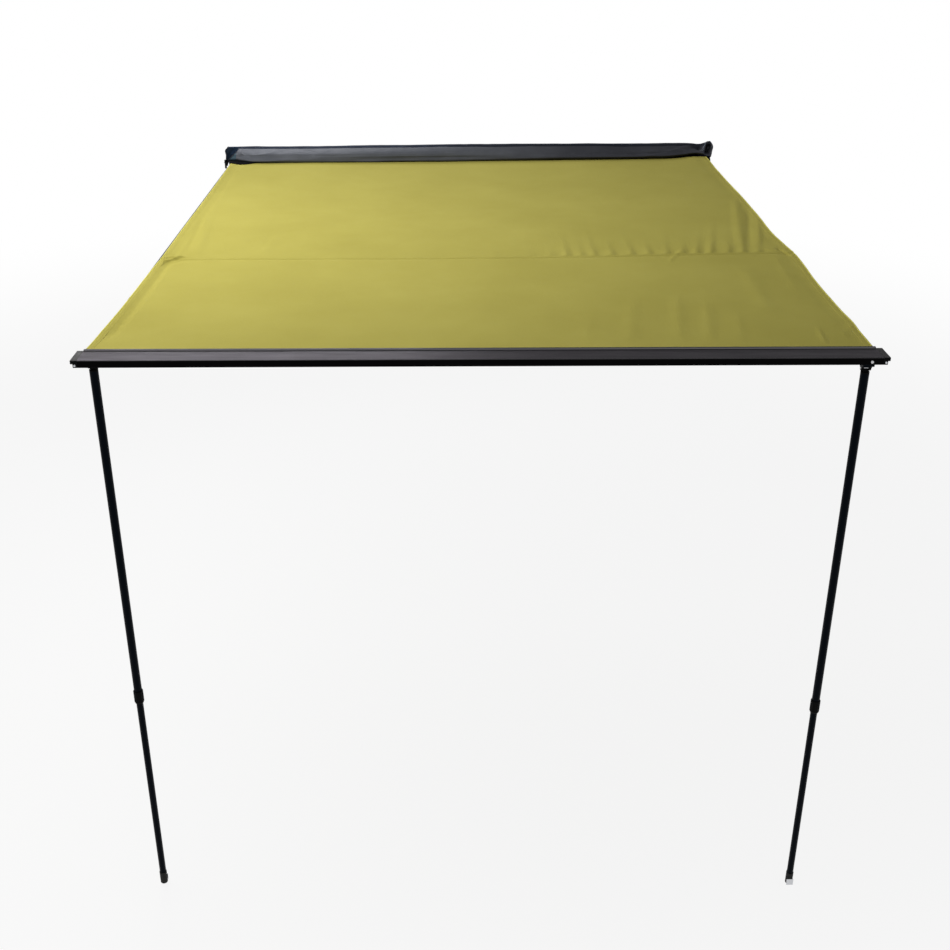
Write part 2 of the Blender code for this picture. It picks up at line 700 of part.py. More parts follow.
def build_arm_bracket(side, body, materials):
    """A plate that carries the arm's pivot pin: above the left arm, below the right one."""
    up = {"left": 1, "right": -1}[side]
    at = (ARM_X[side], ARM_PIVOT_Y, ARM_Z[side])
    rear = -BACK_DEPTH - GAP - ARM_PIVOT_Y
    near = EYE_HALF_HEIGHT + GAP
    far = near + ARM_PLATE
    width = ARM_PLATE_HALF_WIDTH
    plate = arc((0, 0), EYE_RADIUS, 180, 360, 9)
    plate += [(width, ARM_PLATE_SHOULDER), (width, rear), (-width, rear), (-width, ARM_PLATE_SHOULDER)]
    shape = prism(plate, "Z", up * near, up * far)
    bracket = make_object(f"arm_bracket_{side}", shape, at, body, materials["tube"])
    flange = box((-width, rear - ARM_FLANGE, up * far), (width, rear, up * (far - ARM_FLANGE_REACH)))
    change(bracket, "UNION", flange, at, body, "flange")
    change(bracket, "DIFFERENCE", rod("Z", -PAST, PAST, ARM_PIN_RADIUS + GAP), at, body, "pin_hole")
    under = -up * near
    head = under - up * PIN_HEAD
    pin = [(up * far, 0), (up * far, ARM_PIN_RADIUS), (under, ARM_PIN_RADIUS),
           (under, PIN_HEAD_RADIUS), (head, PIN_HEAD_RADIUS), (head, 0)]
    make_object(f"arm_pivot_pin_{side}", turned(pin, "Z", PIN_SIDES), at, body, materials["steel"])


def build_arm_knuckle(side, at, body, materials):
    """The eye on the pivot pin, with a plug in the arm's outer tube."""
    neck = -EYE_REACH - SINK
    eye = arc((0, 0), EYE_RADIUS, -30, 210, 13) + [(-EYE_NECK, neck), (EYE_NECK, neck)]
    shape = prism(eye, "Z", -EYE_HALF_HEIGHT, EYE_HALF_HEIGHT)
    knuckle = make_object(f"arm_knuckle_{side}", shape, at, body, materials["plastic"])
    plug = turned(plug_profile(-1, -EYE_REACH, OUTER_RADIUS, OUTER_BORE), "Y")
    change(knuckle, "UNION", plug, at, body, "plug")
    change(knuckle, "DIFFERENCE", rod("Z", -PAST, PAST, ARM_PIN_RADIUS + GAP), at, body, "pin_hole")


def build_arm(side, bodies, materials):
    """One telescopic arm, hinged on the back rail and pushed into the catch on the front rail."""
    at = (ARM_X[side], ARM_PIVOT_Y, ARM_Z[side])
    arm = bodies[f"arm_{side}"]
    build_arm_knuckle(side, at, arm, materials)
    tube_start = -EYE_REACH - FLANGE - GAP
    tube_end = ARM_COLLAR_Y - ARM_PIVOT_Y + COLLAR_LENGTH / 2 - COLLAR_SHOULDER + GAP
    outer = tube("Y", tube_start, tube_end, OUTER_RADIUS, OUTER_BORE)
    make_object(f"arm_outer_tube_{side}", outer, at, arm, materials["tube"])
    collar_at = (at[0], ARM_COLLAR_Y, at[2])
    collar_body = bodies[f"arm_collar_{side}"]
    build_collar(f"arm_lock_collar_{side}", "Y", ARM_COLLAR_RADIUS, collar_at, collar_body, materials)
    slider = bodies[f"arm_slider_{side}"]
    inner_start = tube_end + ARM_OVERLAP
    inner = tube("Y", inner_start, ARM_TIP_Y - ARM_PIVOT_Y, INNER_RADIUS, INNER_BORE)
    make_object(f"arm_inner_tube_{side}", inner, at, slider, materials["tube"])
    build_expander(f"arm_expander_{side}", "Y", inner_start, at, slider, materials)
    tip_at = (at[0], ARM_TIP_Y - GAP, at[2])
    plug = turned(plug_profile(1, -FLANGE, INNER_RADIUS, INNER_BORE), "Y")
    tip = make_object(f"arm_tip_{side}", plug, tip_at, slider, materials["plastic"])
    tongue_end = RAIL_REAR_Y + REAR_WALL_OUTER + 2 * GAP + CATCH_PLATE - tip_at[1]
    tongue = box((-TONGUE_HALF_WIDTH, tongue_end, -TONGUE_HALF_HEIGHT),
                 (TONGUE_HALF_WIDTH, -FLANGE / 2, TONGUE_HALF_HEIGHT))
    change(tip, "UNION", tongue, tip_at, slider, "tongue")


def build_arm_catch(side, sign, body, materials):
    """A pocket behind the front rail, open to the back and inwards, that takes the arm's tongue."""
    at = (ARM_X[side], RAIL_REAR_Y, FABRIC_Z)
    lane = ARM_Z[side] - FABRIC_Z
    face = REAR_WALL_OUTER + GAP
    floor = face + CATCH_PLATE
    near = TONGUE_HALF_HEIGHT + TONGUE_PLAY
    far = near + CATCH_PLATE
    top = -GROOVE_BLOCK - CATCH_SKIRT
    bottom = min(lane - far - CATCH_SKIRT, REAR_WALL_BOTTOM + CATCH_SKIRT)
    reach = CATCH_REACH
    outline = [(floor, top), (face, top), (face, bottom), (floor, bottom)]
    outline += [(floor, lane - far), (reach, lane - far), (reach, lane - near), (floor, lane - near)]
    outline += [(floor, lane + near), (reach, lane + near), (reach, lane + far), (floor, lane + far)]
    stop = TONGUE_HALF_WIDTH + TONGUE_PLAY
    shape = prism(outline, "X", sign * (stop + CATCH_PLATE), -sign * CATCH_INBOARD)
    catch = make_object(f"arm_catch_{side}", shape, at, body, materials["tube"])
    wall = rectangle(face, lane - far, reach, lane + far)
    outboard = prism(wall, "X", sign * stop, sign * (stop + CATCH_PLATE))
    change(catch, "UNION", outboard, at, body, "outboard_wall")


def build_leg_bracket(side, sign, body, materials):
    """A fork inside the channel that carries the leg's fold pin, with its rivet."""
    at = (LEG_X[side], LEG_Y[side], LEG_FOLD_Z)
    web = BRACKET_OUTBOARD - BRACKET_WEB
    inboard = -BRACKET_INBOARD
    outline = [(inboard, CHEEK_INNER), (web, CHEEK_INNER), (web, -CHEEK_INNER), (inboard, -CHEEK_INNER)]
    outline += [(inboard, -CHEEK_OUTER), (BRACKET_OUTBOARD, -CHEEK_OUTER),
                (BRACKET_OUTBOARD, CHEEK_OUTER), (inboard, CHEEK_OUTER)]
    outline = [(sign * u, v) for u, v in outline]
    shape = prism(outline, "Z", BRACKET_BOTTOM - LEG_FOLD_Z, BRACKET_TOP - LEG_FOLD_Z)
    bracket = make_object(f"leg_bracket_{side}", shape, at, body, materials["tube"])
    change(bracket, "DIFFERENCE", rod("Y", -PAST, PAST, FOLD_PIN_RADIUS + GAP), at, body, "pin_hole")
    pin = rod("Y", -CHEEK_OUTER, CHEEK_OUTER, FOLD_PIN_RADIUS)
    make_object(f"leg_fold_pin_{side}", pin, at, body, materials["steel"])
    out = rivet_direction(side)
    rivet_at = rivet_place(side)
    hole = rod("Y", 0, out * PAST, RIVET_RADIUS + GAP)
    change(bracket, "DIFFERENCE", hole, rivet_at, body, "rivet_hole")
    wall = CHEEK_OUTER + GAP + RAIL_WALL
    rim = out * (wall + GAP)
    rivet = dome(rim, out * (wall + RIVET_HEAD), RIVET_HEAD_RADIUS)
    rivet += [(rim, RIVET_RADIUS), (out * (CHEEK_INNER + GAP), RIVET_RADIUS), (out * (CHEEK_INNER + GAP), 0)]
    make_object(f"leg_rivet_{side}", turned(rivet, "Y", PIN_SIDES), rivet_at, body, materials["steel"])


def build_knuckle(side, at, body, materials):
    """The block that folds on the fold pin and holds the tilt pin in its lower fork."""
    tilt = -LEG_TILT_DROP
    foot = tilt - FORK_END_RADIUS - SINK
    roof = tilt + STEM_RADIUS + FORK_PLAY
    width = KNUCKLE_FOOT_HALF_WIDTH
    outline = arc((0, 0), KNUCKLE_RADIUS, 0, 180, 13)
    outline += [(-width, tilt), (-width, foot), (-FORK_HALF_GAP, foot), (-FORK_HALF_GAP, roof)]
    outline += [(FORK_HALF_GAP, roof), (FORK_HALF_GAP, foot), (width, foot), (width, tilt)]
    fold_hole = circle((0, 0), FOLD_PIN_RADIUS + GAP)
    shape = prism(outline, "Y", -KNUCKLE_HALF_DEPTH, KNUCKLE_HALF_DEPTH, [fold_hole])
    knuckle = make_object(f"leg_knuckle_{side}", shape, at, body, materials["plastic"])
    wide = KNUCKLE_HALF_DEPTH + FORK_PLAY
    above = KNUCKLE_RADIUS + SINK
    rounded = arc((0, tilt), FORK_END_RADIUS, 180, 360, 9)
    rounded += [(wide, KNUCKLE_SHOULDER), (wide, above), (-wide, above), (-wide, KNUCKLE_SHOULDER)]
    change(knuckle, "INTERSECT", prism(rounded, "X", -PAST, PAST), at, body, "rounded_end")
    tilt_at = (at[0], at[1], at[2] + tilt)
    change(knuckle, "DIFFERENCE", rod("X", -PAST, PAST, TILT_PIN_RADIUS + GAP), tilt_at, body, "tilt_hole")
    pin_half = width + TILT_PIN_PROUD
    pin = rod("X", -pin_half, pin_half, TILT_PIN_RADIUS)
    make_object(f"leg_tilt_pin_{side}", pin, tilt_at, body, materials["steel"])


def build_leg_top(side, at, body, materials):
    """The leg's top plug: a stem that hooks over the tilt pin from one side."""
    neck = -STEM_DROP - SINK
    stem = arc((0, 0), STEM_RADIUS, 0, 180, 13) + [(-STEM_NECK, neck), (STEM_NECK, neck)]
    shape = prism(stem, "X", -STEM_HALF_WIDTH, STEM_HALF_WIDTH)
    top = make_object(f"leg_top_plug_{side}", shape, at, body, materials["plastic"])
    plug = turned(plug_profile(-1, -STEM_DROP, OUTER_RADIUS, OUTER_BORE), "Z")
    change(top, "UNION", plug, at, body, "plug")
    change(top, "DIFFERENCE", rod("X", -PAST, PAST, TILT_PIN_RADIUS + GAP), at, body, "pin_hole")
    half_slot = TILT_PIN_RADIUS + HOOK_PLAY
    slot = box((-PAST, 0, -half_slot), (PAST, rivet_direction(side) * PAST, half_slot))
    change(top, "DIFFERENCE", slot, at, body, "hook_slot")


def build_foot(side, at, body, materials):
    """A rubber foot on the lower tube, with a steel plate on its flat side."""
    bore = INNER_RADIUS + GAP
    profile = [(0, 0), (0, FOOT_RADIUS - FOOT_ROUND), (0.3 * FOOT_ROUND, FOOT_RADIUS - 0.3 * FOOT_ROUND),
               (FOOT_ROUND, FOOT_RADIUS), (FOOT_HEIGHT, FOOT_RADIUS), (FOOT_HEIGHT, bore),
               (FOOT_FLOOR, bore), (FOOT_FLOOR, 0)]
    foot = make_object(f"leg_foot_{side}", turned(profile, "Z"), at, body, materials["rubber"])
    out = rivet_direction(side)
    near = out * (FOOT_FLAT + GAP)
    far = near + out * FOOT_PLATE_THICKNESS
    flat = box((-PAST, out * FOOT_FLAT, -SINK), (PAST, out * PAST, FOOT_PLATE_TOP + GAP))
    change(foot, "DIFFERENCE", flat, at, body, "flat")
    width = FOOT_PLATE_HALF_WIDTH
    plate = box((-width, near, FOOT_PLATE_BOTTOM), (width, far, FOOT_PLATE_TOP))
    make_object(f"leg_foot_plate_{side}", plate, at, body, materials["steel"])


def build_leg(side, bodies, materials):
    """One telescopic leg with its two-way knuckle, twist lock and foot."""
    fold_at = (LEG_X[side], LEG_Y[side], LEG_FOLD_Z)
    tilt_at = (LEG_X[side], LEG_Y[side], LEG_FOLD_Z - LEG_TILT_DROP)
    ground = FABRIC_Z - LEG_LENGTH
    build_knuckle(side, fold_at, bodies[f"leg_knuckle_{side}"], materials)
    leg = bodies[f"leg_{side}"]
    build_leg_top(side, tilt_at, leg, materials)
    collar_z = FABRIC_Z - LEG_COLLAR_DROP[side]
    tube_start = -STEM_DROP - FLANGE - GAP
    tube_end = collar_z + COLLAR_LENGTH / 2 - COLLAR_SHOULDER + GAP - tilt_at[2]
    upper = tube("Z", tube_start, tube_end, OUTER_RADIUS, OUTER_BORE)
    make_object(f"leg_upper_tube_{side}", upper, tilt_at, leg, materials["tube"])
    collar_at = (tilt_at[0], tilt_at[1], collar_z)
    collar_body = bodies[f"leg_collar_{side}"]
    build_collar(f"leg_lock_collar_{side}", "Z", LEG_COLLAR_RADIUS, collar_at, collar_body, materials)
    slider = bodies[f"leg_slider_{side}"]
    foot_at = (tilt_at[0], tilt_at[1], ground)
    inner_start = tube_end + tilt_at[2] + LEG_OVERLAP - ground
    lower = tube("Z", inner_start, FOOT_FLOOR + GAP, INNER_RADIUS, INNER_BORE)
    make_object(f"leg_lower_tube_{side}", lower, foot_at, slider, materials["tube"])
    build_expander(f"leg_expander_{side}", "Z", inner_start, foot_at, slider, materials)
    build_foot(side, foot_at, slider, materials)


def make_bodies():
    """An empty for each moving body, on its joint's axis."""
    root = make_body("back_rail_body", (0, 0, 0))
    rail = make_body("front_rail_body", (0, RAIL_REAR_Y, FABRIC_Z), root)
    bodies = {"root": root, "rail": rail, "zip_pull": make_body("zip_pull_body", zip_pull_place(), root)}
    for side in SIDES:
        pivot = (ARM_X[side], ARM_PIVOT_Y, ARM_Z[side])
        collar_at = (pivot[0], ARM_COLLAR_Y, pivot[2])
        arm = make_body(f"arm_{side}_body", pivot, root)
        bodies[f"arm_{side}"] = arm
        bodies[f"arm_collar_{side}"] = make_body(f"arm_collar_{side}_body", collar_at, arm)
        bodies[f"arm_slider_{side}"] = make_body(f"arm_slider_{side}_body", pivot, arm)
        fold_at = (LEG_X[side], LEG_Y[side], LEG_FOLD_Z)
        tilt_at = (LEG_X[side], LEG_Y[side], LEG_FOLD_Z - LEG_TILT_DROP)
        collar_at = (LEG_X[side], LEG_Y[side], FABRIC_Z - LEG_COLLAR_DROP[side])
        knuckle = make_body(f"leg_knuckle_{side}_body", fold_at, rail)
        leg = make_body(f"leg_{side}_body", tilt_at, knuckle)
        bodies[f"leg_knuckle_{side}"] = knuckle
        bodies[f"leg_{side}"] = leg
        bodies[f"leg_collar_{side}"] = make_body(f"leg_collar_{side}_body", collar_at, leg)
        bodies[f"leg_slider_{side}"] = make_body(f"leg_slider_{side}_body", tilt_at, leg)
    return bodies


def main():
    clear_scene()
    materials = make_materials()
    bodies = make_bodies()
    root = bodies["root"]
    rail = bodies["rail"]
    build_back_rail(root, materials)
    build_canopy(rail, materials)
    build_cover(root, materials)
    build_cover_flap(root, materials)
    build_zip(root, bodies["zip_pull"], materials)
    build_front_rail(rail, materials)
    for side, sign in SIDES.items():
        build_mounting(side, sign, root, materials)
        build_arm_bracket(side, root, materials)
        build_arm(side, bodies, materials)
        build_rail_cap(side, sign, rail, materials)
        build_arm_catch(side, sign, rail, materials)
        build_leg_bracket(side, sign, rail, materials)
        build_leg(side, bodies, materials)


main()
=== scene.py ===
import math

import bpy
import numpy as np
from mathutils import Matrix, Vector, noise


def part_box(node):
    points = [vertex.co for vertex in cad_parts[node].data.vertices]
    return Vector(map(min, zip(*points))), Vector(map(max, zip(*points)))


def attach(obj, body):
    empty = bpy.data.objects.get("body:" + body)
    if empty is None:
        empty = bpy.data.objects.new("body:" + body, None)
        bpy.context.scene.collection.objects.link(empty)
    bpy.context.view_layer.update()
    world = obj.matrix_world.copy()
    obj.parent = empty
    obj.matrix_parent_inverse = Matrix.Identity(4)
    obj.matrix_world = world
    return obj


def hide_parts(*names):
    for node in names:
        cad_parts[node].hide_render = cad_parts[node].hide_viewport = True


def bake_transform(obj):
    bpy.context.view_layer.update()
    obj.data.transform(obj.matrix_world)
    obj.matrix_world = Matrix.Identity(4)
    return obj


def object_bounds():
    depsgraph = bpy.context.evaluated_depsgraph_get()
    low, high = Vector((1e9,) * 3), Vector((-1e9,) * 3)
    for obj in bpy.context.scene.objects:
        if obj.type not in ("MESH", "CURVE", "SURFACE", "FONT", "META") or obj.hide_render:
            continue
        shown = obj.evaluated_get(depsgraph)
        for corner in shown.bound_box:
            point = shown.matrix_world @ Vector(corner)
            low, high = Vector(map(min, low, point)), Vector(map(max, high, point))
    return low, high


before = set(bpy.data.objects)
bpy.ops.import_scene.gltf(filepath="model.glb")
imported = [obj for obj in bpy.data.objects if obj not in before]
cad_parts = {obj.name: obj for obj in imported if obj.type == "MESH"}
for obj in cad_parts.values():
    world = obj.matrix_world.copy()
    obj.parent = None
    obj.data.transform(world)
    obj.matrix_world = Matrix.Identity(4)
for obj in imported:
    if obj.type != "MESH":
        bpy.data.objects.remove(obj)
cad_low, cad_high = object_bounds()

# Camera, fitted to the corners of the cloth, the rail's ends, the collars and the feet
LENS = 46.998
CAMERA_AT = (-0.0845, -5.2585, 1.0769)
CAMERA_PITCH = math.radians(25.792)
CAMERA_YAW = math.radians(1.33)
CAMERA_ROLL = math.radians(0.249)
SENSOR_WIDTH = 36.0

# Places in the frame that the soft pieces are built from: the front rail's back, the back rail's front
BACK_LOW, BACK_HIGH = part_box("back_rail")
CANOPY_LOW, CANOPY_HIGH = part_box("canopy")
FLAP_LOW, FLAP_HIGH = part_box("cover_lower_flap")
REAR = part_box("front_rail")[1].y
NOSE = BACK_LOW.y
FABRIC_Z = (CANOPY_LOW.z + CANOPY_HIGH.z) / 2
SPAN = NOSE - REAR
GROUND = cad_low.z
# How deep the cloth's beads sit in the rails, and how far the front rail's ridge is from its back
BEAD_DEPTH = 0.0042
RIDGE = 0.0094

# Cloth: its side edges and cross seam as (distance behind the front rail, x), in metres
LEFT_EDGE = ((0.0, -0.980), (0.10, -0.975), (0.20, -0.9705), (0.30, -0.968), (0.43, -0.9665), (0.60, -0.9645),
             (0.80, -0.962), (1.04, -0.9628), (2.0, -0.9628), (2.33, -0.9655))
RIGHT_EDGE = ((0.0, 0.978), (0.12, 0.980), (0.20, 0.9835), (0.27, 0.981), (0.41, 0.9808), (0.60, 0.985),
              (0.72, 0.992), (0.85, 0.994), (0.95, 0.987), (1.05, 0.9818), (1.33, 0.987), (1.65, 0.9885),
              (1.80, 0.9855), (2.0, 0.984), (2.2, 0.9832), (2.33, 0.975))
SEAM = ((-0.985, 0.817), (-0.30, 0.828), (0.30, 0.838), (0.985, 0.862))
CLOTH_THICKNESS = 0.0006
HEM_THICKNESS = 0.0003
BEAD_RADIUS = 0.0018
HEM_WIDTH = 0.017
HEM_OFFSET = 0.00055
EDGE_CORD_RADIUS = 0.0021
# The cords in the hems stop this far before each rail
EDGE_CORD_GAP = 0.006
SAG = 0.004
# The share of the span at each rail over which the cloth is held flat
GRIP = 0.03
# How much higher the cloth stands at its right side towards the back, from where along x, and over how far
TWIST = 0.0140
TWIST_FROM = -0.10
TWIST_OVER = 1.09
# How much higher it stands at its back right corner, where, and how large that lift is
CORNER_LIFT = 0.0080
CORNER_AT = (0.945, 2.250)
CORNER_SIZE = (0.07, 0.10)
# The share of the span where both lifts begin to end, and over which share they do
LIFT_END = 0.966
LIFT_FADE = 0.032
# Ridges and hollows along the edges and the seam, and across a pucker: height, width, place. The hollow
# at the left has none, as its place changes along the edge
LEFT_ROLL = (0.0022, 0.016, 0.0)
LEFT_HOLLOW = (-0.0046, 0.0115)
RIGHT_RELIEF = ((0.0006, 0.012, 0.0), (-0.0008, 0.014, 0.028))
SEAM_RELIEF = ((0.0009, 0.0075, 0.0), (-0.0012, 0.0085, -0.013))
PUCKER_RELIEF = ((1.0, 0.0105, 0.0), (-0.60, 0.012, 0.022))
# Unevenness of the cloth: height, size, and where in the noise it is taken
UNEVEN = ((0.0007, 0.16, 3.0), (0.0011, 0.42, 7.0), (0.00035, 0.05, 11.0))

# Folds in the cloth: start and end as (x, distance behind the front rail), width, height
FOLDS = (
    ((-0.958, 0.772), (-0.890, 0.852), 0.0052, 0.0078),
    ((-0.950, 0.745), (-0.885, 0.812), 0.0090, -0.0026),
    ((-0.962, 0.815), (-0.925, 0.856), 0.0050, 0.0036),
    ((-0.867, 0.85), (-0.892, 1.25), 0.0100, 0.0030),
    ((-0.900, 0.87), (-0.925, 1.35), 0.0100, -0.0032),
    ((-0.663, 0.833), (-0.640, 1.12), 0.0100, 0.0018),
    ((0.881, 0.155), (0.866, 0.018), 0.0060, 0.0024),
    ((0.926, 0.090), (0.980, 0.170), 0.0060, 0.0022),
    ((0.632, 0.474), (0.684, 0.424), 0.0070, 0.0014),
    ((0.586, 0.758), (0.654, 0.903), 0.0060, 0.0016),
    ((0.958, 0.905), (0.978, 0.826), 0.0042, -0.0096),
    ((0.905, 0.910), (0.985, 0.858), 0.0100, 0.0022),
    ((0.835, 0.90), (0.975, 1.62), 0.0150, 0.0034),
    ((0.872, 0.92), (0.985, 1.45), 0.0110, -0.0028),
    ((0.905, 0.93), (0.985, 1.30), 0.0110, 0.0026),
    ((0.930, 0.84), (0.905, 0.45), 0.0160, 0.0012),
    ((0.806, 0.72), (0.786, 0.26), 0.0260, 0.0024),
    ((0.563, 0.46), (0.498, 0.03), 0.0190, 0.0022),
    ((0.634, 0.38), (0.577, 0.03), 0.0180, 0.0024),
    ((0.700, 0.30), (0.655, 0.02), 0.0160, 0.0014),
    ((0.430, 0.42), (0.374, 0.02), 0.0210, 0.0016),
    ((0.300, 0.30), (0.262, 0.02), 0.0200, 0.0010),
)
# Puckers behind the seam: x, height, length
PUCKERS = (
    (-0.55, 0.0010, 0.06), (-0.43, 0.0008, 0.05), (-0.28, 0.0011, 0.05), (-0.12, 0.0010, 0.06),
    (-0.02, 0.0009, 0.05), (0.06, 0.0014, 0.07), (0.17, 0.0016, 0.08), (0.235, 0.0018, 0.06),
    (0.285, 0.0034, 0.09), (0.330, 0.0022, 0.05), (0.370, 0.0030, 0.10), (0.425, 0.0034, 0.07),
    (0.487, 0.0032, 0.08), (0.542, 0.0036, 0.06), (0.597, 0.0030, 0.08), (0.645, 0.0036, 0.06),
    (0.690, 0.0034, 0.09), (0.735, 0.0036, 0.14), (0.790, 0.0030, 0.10), (0.836, 0.0034, 0.16),
    (0.885, 0.0026, 0.08),
)
# How much the puckers at the right lean, and how far behind the seam a pucker rises and begins to fade
PUCKER_LEAN = 0.2
PUCKER_RISE = 0.016
PUCKER_TOP = 0.012
# The share of a fold's length over which it fades at its ends, and how much of the fade is past the end
FOLD_FADE = 0.3
FOLD_END = 0.15


def eased(t):
    t = np.clip(t, 0, 1)
    return t * t * (3 - 2 * t)


def ramp(value, start, end):
    """0 at the start, 1 at the end, and a soft change between them."""
    return eased((value - start) / (end - start))


def hump(off, width):
    """1 in the middle, and fading to both sides."""
    return np.exp(-(off / width) ** 2)


def relief(off, parts):
    """Ridges and hollows along a line, each given as (height, width, place)."""
    return sum(height * hump(off - place, width) for height, width, place in parts)


def curve(points, at):
    """A smooth line through (place, value) pairs."""
    places, values = np.array(points, float).T
    slope = np.gradient(values, places)
    i = np.clip(np.searchsorted(places, at) - 1, 0, len(places) - 2)
    step = places[i + 1] - places[i]
    t = np.clip((at - places[i]) / step, 0, 1)
    near = (2 * t**3 - 3 * t**2 + 1) * values[i] + (t**3 - 2 * t**2 + t) * step * slope[i]
    return near + (3 * t**2 - 2 * t**3) * values[i + 1] + (t**3 - t**2) * step * slope[i + 1]


def spline(points, count):
    """Points evenly spread over a smooth line through a few control points."""
    knots = np.vstack([2 * points[0] - points[1], points, 2 * points[-1] - points[-2]])
    at = np.linspace(0, len(points) - 1, count)
    i = np.minimum(at.astype(int), len(points) - 2)
    t = (at - i)[:, None]
    a, b, c, d = knots[i], knots[i + 1], knots[i + 2], knots[i + 3]
    return 0.5 * (2 * b + (c - a) * t + (2 * a - 5 * b + 4 * c - d) * t**2 + (3 * b - a - 3 * c + d) * t**3)


def rough(u, v, size, seed):
    """Smooth unevenness from -1 to 1, about the given size across."""
    flat = [noise.noise((a / size, b / size, seed)) for a, b in zip(np.ravel(u), np.ravel(v))]
    return np.array(flat).reshape(np.shape(u))


def fold(x, y, start, end, width, height):
    """A fold that runs along a line and fades at both its ends."""
    line = np.array(end) - np.array(start)
    length = np.hypot(*line)
    t = ((x - start[0]) * line[0] + (y - start[1]) * line[1]) / length**2
    off = ((x - start[0]) * line[1] - (y - start[1]) * line[0]) / length
    return height * hump(off, width) * eased(t / FOLD_FADE + FOLD_END) * eased((1 - t) / FOLD_FADE + FOLD_END)


def mesh_object(name, vertices, faces, finish, uv=None, smooth=True):
    mesh = bpy.data.meshes.new(name)
    mesh.from_pydata([tuple(v) for v in np.asarray(vertices, float)], [], [tuple(f) for f in faces])
    if uv is not None:
        layer = mesh.uv_layers.new(name="metres")
        loops = np.zeros(len(mesh.loops), np.int32)
        mesh.loops.foreach_get("vertex_index", loops)
        layer.uv.foreach_set("vector", np.asarray(uv, np.float32)[loops].ravel())
    if smooth:
        mesh.shade_smooth()
    mesh.materials.append(finish)
    item = bpy.data.objects.new(name, mesh)
    bpy.context.scene.collection.objects.link(item)
    return item


def grid_faces(rows, columns, around=False):
    index = np.arange(rows * columns).reshape(rows, columns)
    if around:
        index = np.hstack([index, index[:, :1]])
    corners = (index[:-1, :-1], index[:-1, 1:], index[1:, 1:], index[1:, :-1])
    return np.stack([c.ravel() for c in corners], 1)


def travelled(points, axis):
    """How far each point is along the surface, measured along one direction of its grid."""
    step = np.linalg.norm(np.diff(points, axis=axis), axis=2)
    start = np.zeros_like(np.take(step, [0], axis))
    return np.concatenate([start, np.cumsum(step, axis)], axis)


def thicken(item, thickness):
    solid = item.modifiers.new("thickness", "SOLIDIFY")
    solid.thickness = thickness
    solid.offset = 0
    return item


def cloth(name, points, thickness, finish):
    """A sheet of cloth through a grid of points, with its real thickness."""
    uv = np.stack([travelled(points, 1), travelled(points, 0)], 2).reshape(-1, 2)
    item = mesh_object(name, points.reshape(-1, 3), grid_faces(*points.shape[:2]), finish, uv)
    return thicken(item, thickness)


def across(path):
    """For each point of a path: which way it runs, and two directions at right angles to it."""
    path = np.asarray(path, float)
    run = np.gradient(path, axis=0)
    run /= np.linalg.norm(run, axis=1)[:, None]
    side = np.zeros_like(path)
    last = np.cross(run[0], (0.0, 0.0, 1.0) if abs(run[0][2]) < 0.9 else (1.0, 0.0, 0.0))
    for i, direction in enumerate(run):
        last = last - direction * (last @ direction)
        last = last / np.linalg.norm(last)
        side[i] = last
    return run, side, np.cross(run, side)


def cord_mesh(name, path, radius, finish, sides=10):
    """A round cord along a path, closed at both ends."""
    path = np.asarray(path, float)
    run, side, up = across(path)
    angle = np.linspace(0, 2 * math.pi, sides, endpoint=False)
    ring = np.cos(angle)[None, :, None] * side[:, None] + np.sin(angle)[None, :, None] * up[:, None]
    points = path[:, None] + radius * ring
    faces = [list(f) for f in grid_faces(len(path), sides, around=True)]
    faces += [list(range(sides))[::-1], list(range((len(path) - 1) * sides, len(path) * sides))]
    uv = np.stack([np.broadcast_to(angle * radius, points.shape[:2]), travelled(points, 0)], 2)
    return mesh_object(name, points.reshape(-1, 3), faces, finish, uv.reshape(-1, 2))


# How wide a block's top is, for each unit of its base
BLOCK_TAPER = 0.55


def blocks(name, centres, axes, half, finish):
    """Many small blocks with narrower tops, as for stitches and zip teeth."""
    corners = [(a, b, c, 1.0 if c < 0 else BLOCK_TAPER)
               for c in (-1, 1) for a, b in ((-1, -1), (1, -1), (1, 1), (-1, 1))]
    sides = [(0, 3, 2, 1), (4, 5, 6, 7), (0, 1, 5, 4), (1, 2, 6, 5), (2, 3, 7, 6), (3, 0, 4, 7)]
    along, side, up = axes
    vertices = [centres + a * s * half[0] * along + b * s * half[1] * side + c * half[2] * up
                for a, b, c, s in corners]
    vertices = np.stack(vertices, 1).reshape(-1, 3)
    faces = (np.arange(len(centres))[:, None, None] * len(corners) + np.array(sides)[None]).reshape(-1, 4)
    return mesh_object(name, vertices, faces, finish, smooth=False)


def measured(path):
    """How far each point of a path is along it."""
    return np.concatenate([[0], np.cumsum(np.linalg.norm(np.diff(path, axis=0), axis=1))])


def along_path(at, length, values):
    """The values beside a path's points, read off between them."""
    return np.stack([np.interp(at, length, values[:, i]) for i in range(3)], 1)


# Seams between the cover's front and its left (-1) and right (1) end panel, as (height over the cloth, x)
COVER_SEAM = {-1: ((0.0, -0.990), (0.045, -0.940)), 1: ((0.040, 0.970), (0.072, 0.986))}
# The right side of the bluer patch of painted light on a fold facet beside the left seam, the front edge of
# the painted shade along the cover's top, and where along x the painted light on the cover's left part starts
# and ends
PAINTED_FACET_EDGE = -0.947
PAINTED_SHADE_TOP_EDGE = -0.067
PAINTED_LIGHT_START = -0.05
PAINTED_LIGHT_END = 0.45
# How narrow the change from one colour to the next is there: at the seam, the painted facet and the painted
# shade on the top
SEAM_BLUR = 0.0012
PAINTED_FACET_BLUR = 0.0015
PAINTED_SHADE_TOP_BLUR = 0.003
